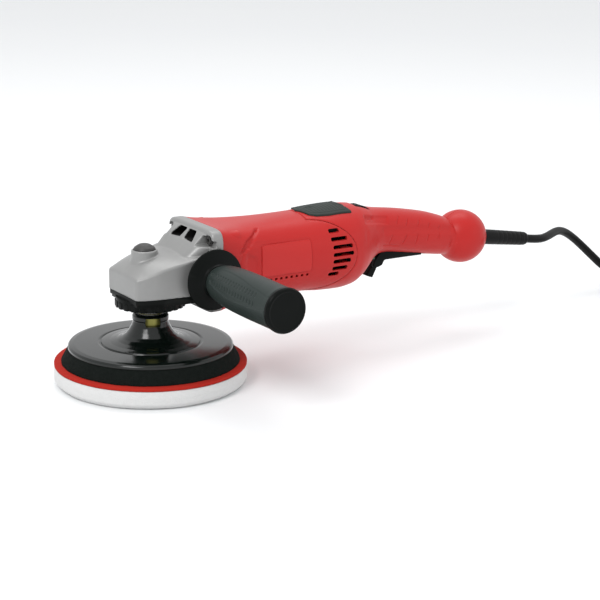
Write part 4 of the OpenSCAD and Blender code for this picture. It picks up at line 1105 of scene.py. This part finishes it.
def make_side_handle():
    flange = fillet([(3.95, 39.5, 0), (12, 39.5, 0.8), (23.7, 41, 2), (25.4, 42.2, 0.8), (25.3, 43.6, 0.8),
                     (18, 46.2, 6), (14.2, 48.2, 2.5), (13.4, 50.2, 0.6), (3.95, 50.2, 0)], 1, 6)
    bowl = turned(lathe("side_handle_flange", flange, 160, closed=True), (SIDE_X, 0, SIDE_Z), SIDEWAYS)
    shade(bowl, 40)
    place_piece(bowl, "housing", "black_plastic", "side_flange")

    profile = [(50.3, 12.9), (53, 13.9), (58, 15.3), (66, 16.5), (78, 17.3), (92, 17.7), (110, 17.8),
               (128, 17.6), (140, 17.5), (146, 17.7)]
    s = np.concatenate([np.arange(50.3, 146, 0.55), [146]])
    radius = smooth_curve(profile, s)[:, 0]
    angles = np.linspace(0, 2 * math.pi, 240, endpoint=False)
    along, angle = np.meshgrid(s, angles, indexing="ij")
    # angle 0 points to the front, along -X, and grows upwards
    degrees = (np.degrees(angle) + 180) % 360 - 180
    top = smooth_curve([(50, 42), (58, 60), (72, 67), (96, 62), (116, 53), (140, 45), (147, 43)], s)[:, :1]
    bottom = smooth_curve([(50, 40), (56, 22), (70, 4), (96, -6), (120, -4), (147, 4)], s)[:, :1]
    inside = np.minimum(top - degrees, degrees - bottom) * (radius[:, None] * math.pi / 180)
    depth = 0.45 * soft_step(-inside + 0.5, 0.5)
    for low, high, first, last in ((40, 33, 55.5, 131), (17, 10, 60, 133)):
        for at in np.arange(first, last, 4.3):
            share = (at - first) / (last - first)
            middle = low + (high - low) * share
            across = (degrees - middle) * radius[:, None] * math.pi / 180
            mark = np.hypot(np.maximum(np.abs(across) - 1.3, 0), along - at)
            depth = depth + 0.75 * soft_step(mark - 0.6, 0.4)
    reach = radius[:, None] - depth
    rings = np.stack([SIDE_X - reach * np.cos(angle), -along, SIDE_Z + reach * np.sin(angle)], -1)
    cap = fillet([(17.7, 146, 0), (17.2, 146.6, 0.3), (18.1, 147.4, 0.5), (18.2, 149.6, 0.8),
                  (17.3, 151.2, 0.8), (15.6, 151.5, 0.6), (14.6, 151.1, 0.5), (0, 151.1, 0)], 0.5, 5,
                 closed=False)[1:]
    cap_rings = np.stack([np.column_stack([SIDE_X - r * np.cos(angles), np.full(angles.shape, -y),
                                           SIDE_Z + r * np.sin(angles)]) for r, y in cap[:-1]])
    rings = np.concatenate([rings, cap_rings])
    grip = tube_solid("side_handle_grip", rings)
    combine(grip, [turned(prism("stud_hole", circle((0, 0), 3.97), 40, 78, "z"), (SIDE_X, 0, SIDE_Z),
                          SIDEWAYS)])
    place_piece(grip, "housing", "side_grip_rubber", "side_grip",
                mats=["side_grip_rubber", "black_plastic"])
    for polygon in grip.data.polygons:
        polygon.material_index = int(polygon.center[1] < -147.2 * MM)
    shade(grip, 45)


# ---- Controls ----

PIVOT = (266.0, AXIS_H - 10)
LEVER_PIVOT = (226.0, AXIS_H - 20)
DIAL_AT = (205, AXIS_H + 24.5)


def make_controls():
    outline = fillet([(271.5, -17.6, 0.8), (250, -17.4, 6), (230.3, -17.4, 3), (228, -21.8, 1.4),
                      (223.5, -23.3, 1), (218.8, -22.8, 0.9), (220.6, -16.5, 2), (226, -10.5, 3),
                      (234, -8, 1.5), (262, -7, 1), (270, -8, 1.5)], 1)
    paddle = prism("paddle_switch", lifted(outline), -9, 9, "y")
    cutters = [prism("pin", circle(PIVOT, 2.25, 32), -10, 10, "y"),
               prism("pivot", circle(LEVER_PIVOT, 1.4, 24), -6.7, 6.7, "y"),
               prism("fork", box_outline((217, AXIS_H - 31), (230.2, AXIS_H - 12)), -5.2, 5.2, "y")]
    for k in range(6):
        at = 238 + 5 * k
        groove = fillet([(at, -19), (at + 1.2, -19), (at + 0.9, -16.9), (at + 0.3, -16.9)], 0.2, 2)
        cutters.append(prism("groove", groove + np.array([0, AXIS_H]), -7.4, 7.4, "y"))
    cut_each(paddle, cutters)
    bevelled(paddle, 0.45, 3, 40)
    place_piece(paddle, "paddle", "black_plastic", "paddle")

    outline = fillet([(229, -17.5, 1), (229.5, -21, 1.5), (225, -25, 2), (220.6, -33.4, 0.9),
                      (214.4, -31.2, 0.9), (219, -25, 3), (222.5, -19, 1.5), (225, -16.5, 1)], 1)
    lever = prism("lock_off_tab", lifted(outline), -4.8, 4.8, "y")
    combine(lever, [prism("axle", circle(LEVER_PIVOT, 1.33, 24), -6.6, 6.6, "y")], "UNION")
    bevelled(lever, 0.4, 3, 40)
    place_piece(lever, "lock_off", "black_plastic", "lock_off_lever")

    turns = np.radians(np.arange(0, 360, 1.5))
    knurl = 9.5 - 0.75 * (0.5 + 0.5 * np.cos(24 * turns)) ** 3
    rings = []
    for y, inset in ((-8, 1.6), (-7.9, 1.0), (-7.6, 0.35), (-7, 0), (7, 0), (7.6, 0.35), (7.9, 1.0),
                     (8, 1.6)):
        r = knurl - inset
        rings.append(np.column_stack([DIAL_AT[0] + r * np.cos(turns), np.full(turns.shape, y),
                                      DIAL_AT[1] + r * np.sin(turns)]))
    dial = tube_solid("speed_wheel", np.array(rings))
    combine(dial, [prism("axle", circle(DIAL_AT, 2, 32), -8.6, 8.6, "y")], "UNION")
    shade(dial, 50)
    place_piece(dial, "speed_dial", "black_plastic", "speed_dial")


# ---- CAD nodes that stay ----

def finish_nodes():
    """Gives each CAD node its slot's material, and the screws, side stud, spindle and hub insert small
    rounded edges.
    """
    slots = {part["node"]: part["material_slot"] for part in frame["record"]["subparts"]}
    for name, node in frame["nodes"].items():
        node.data.materials.clear()
        node.data.materials.append(MATERIALS[slots[name]])
        if name in ("gear_case_screws", "handle_screws", "clamp_screws", "side_stud", "spindle",
                    "hub_insert"):
            bevel = node.modifiers.new("edges", "BEVEL")
            bevel.width = 0.25 * MM
            bevel.segments = 2
            bevel.limit_method = "ANGLE"
            bevel.angle_limit = math.radians(40)


make_camera()
cord = make_cord()
plug, pins = make_plug()
tie = make_tie()
make_strain_relief()
make_studio()
make_plate()
make_foam()
make_gear_head()
make_lock_button()
make_bearing_plate()
make_motor_housing()
make_handles()
make_badge()
make_top_pad()
make_side_handle()
make_controls()
finish_nodes()
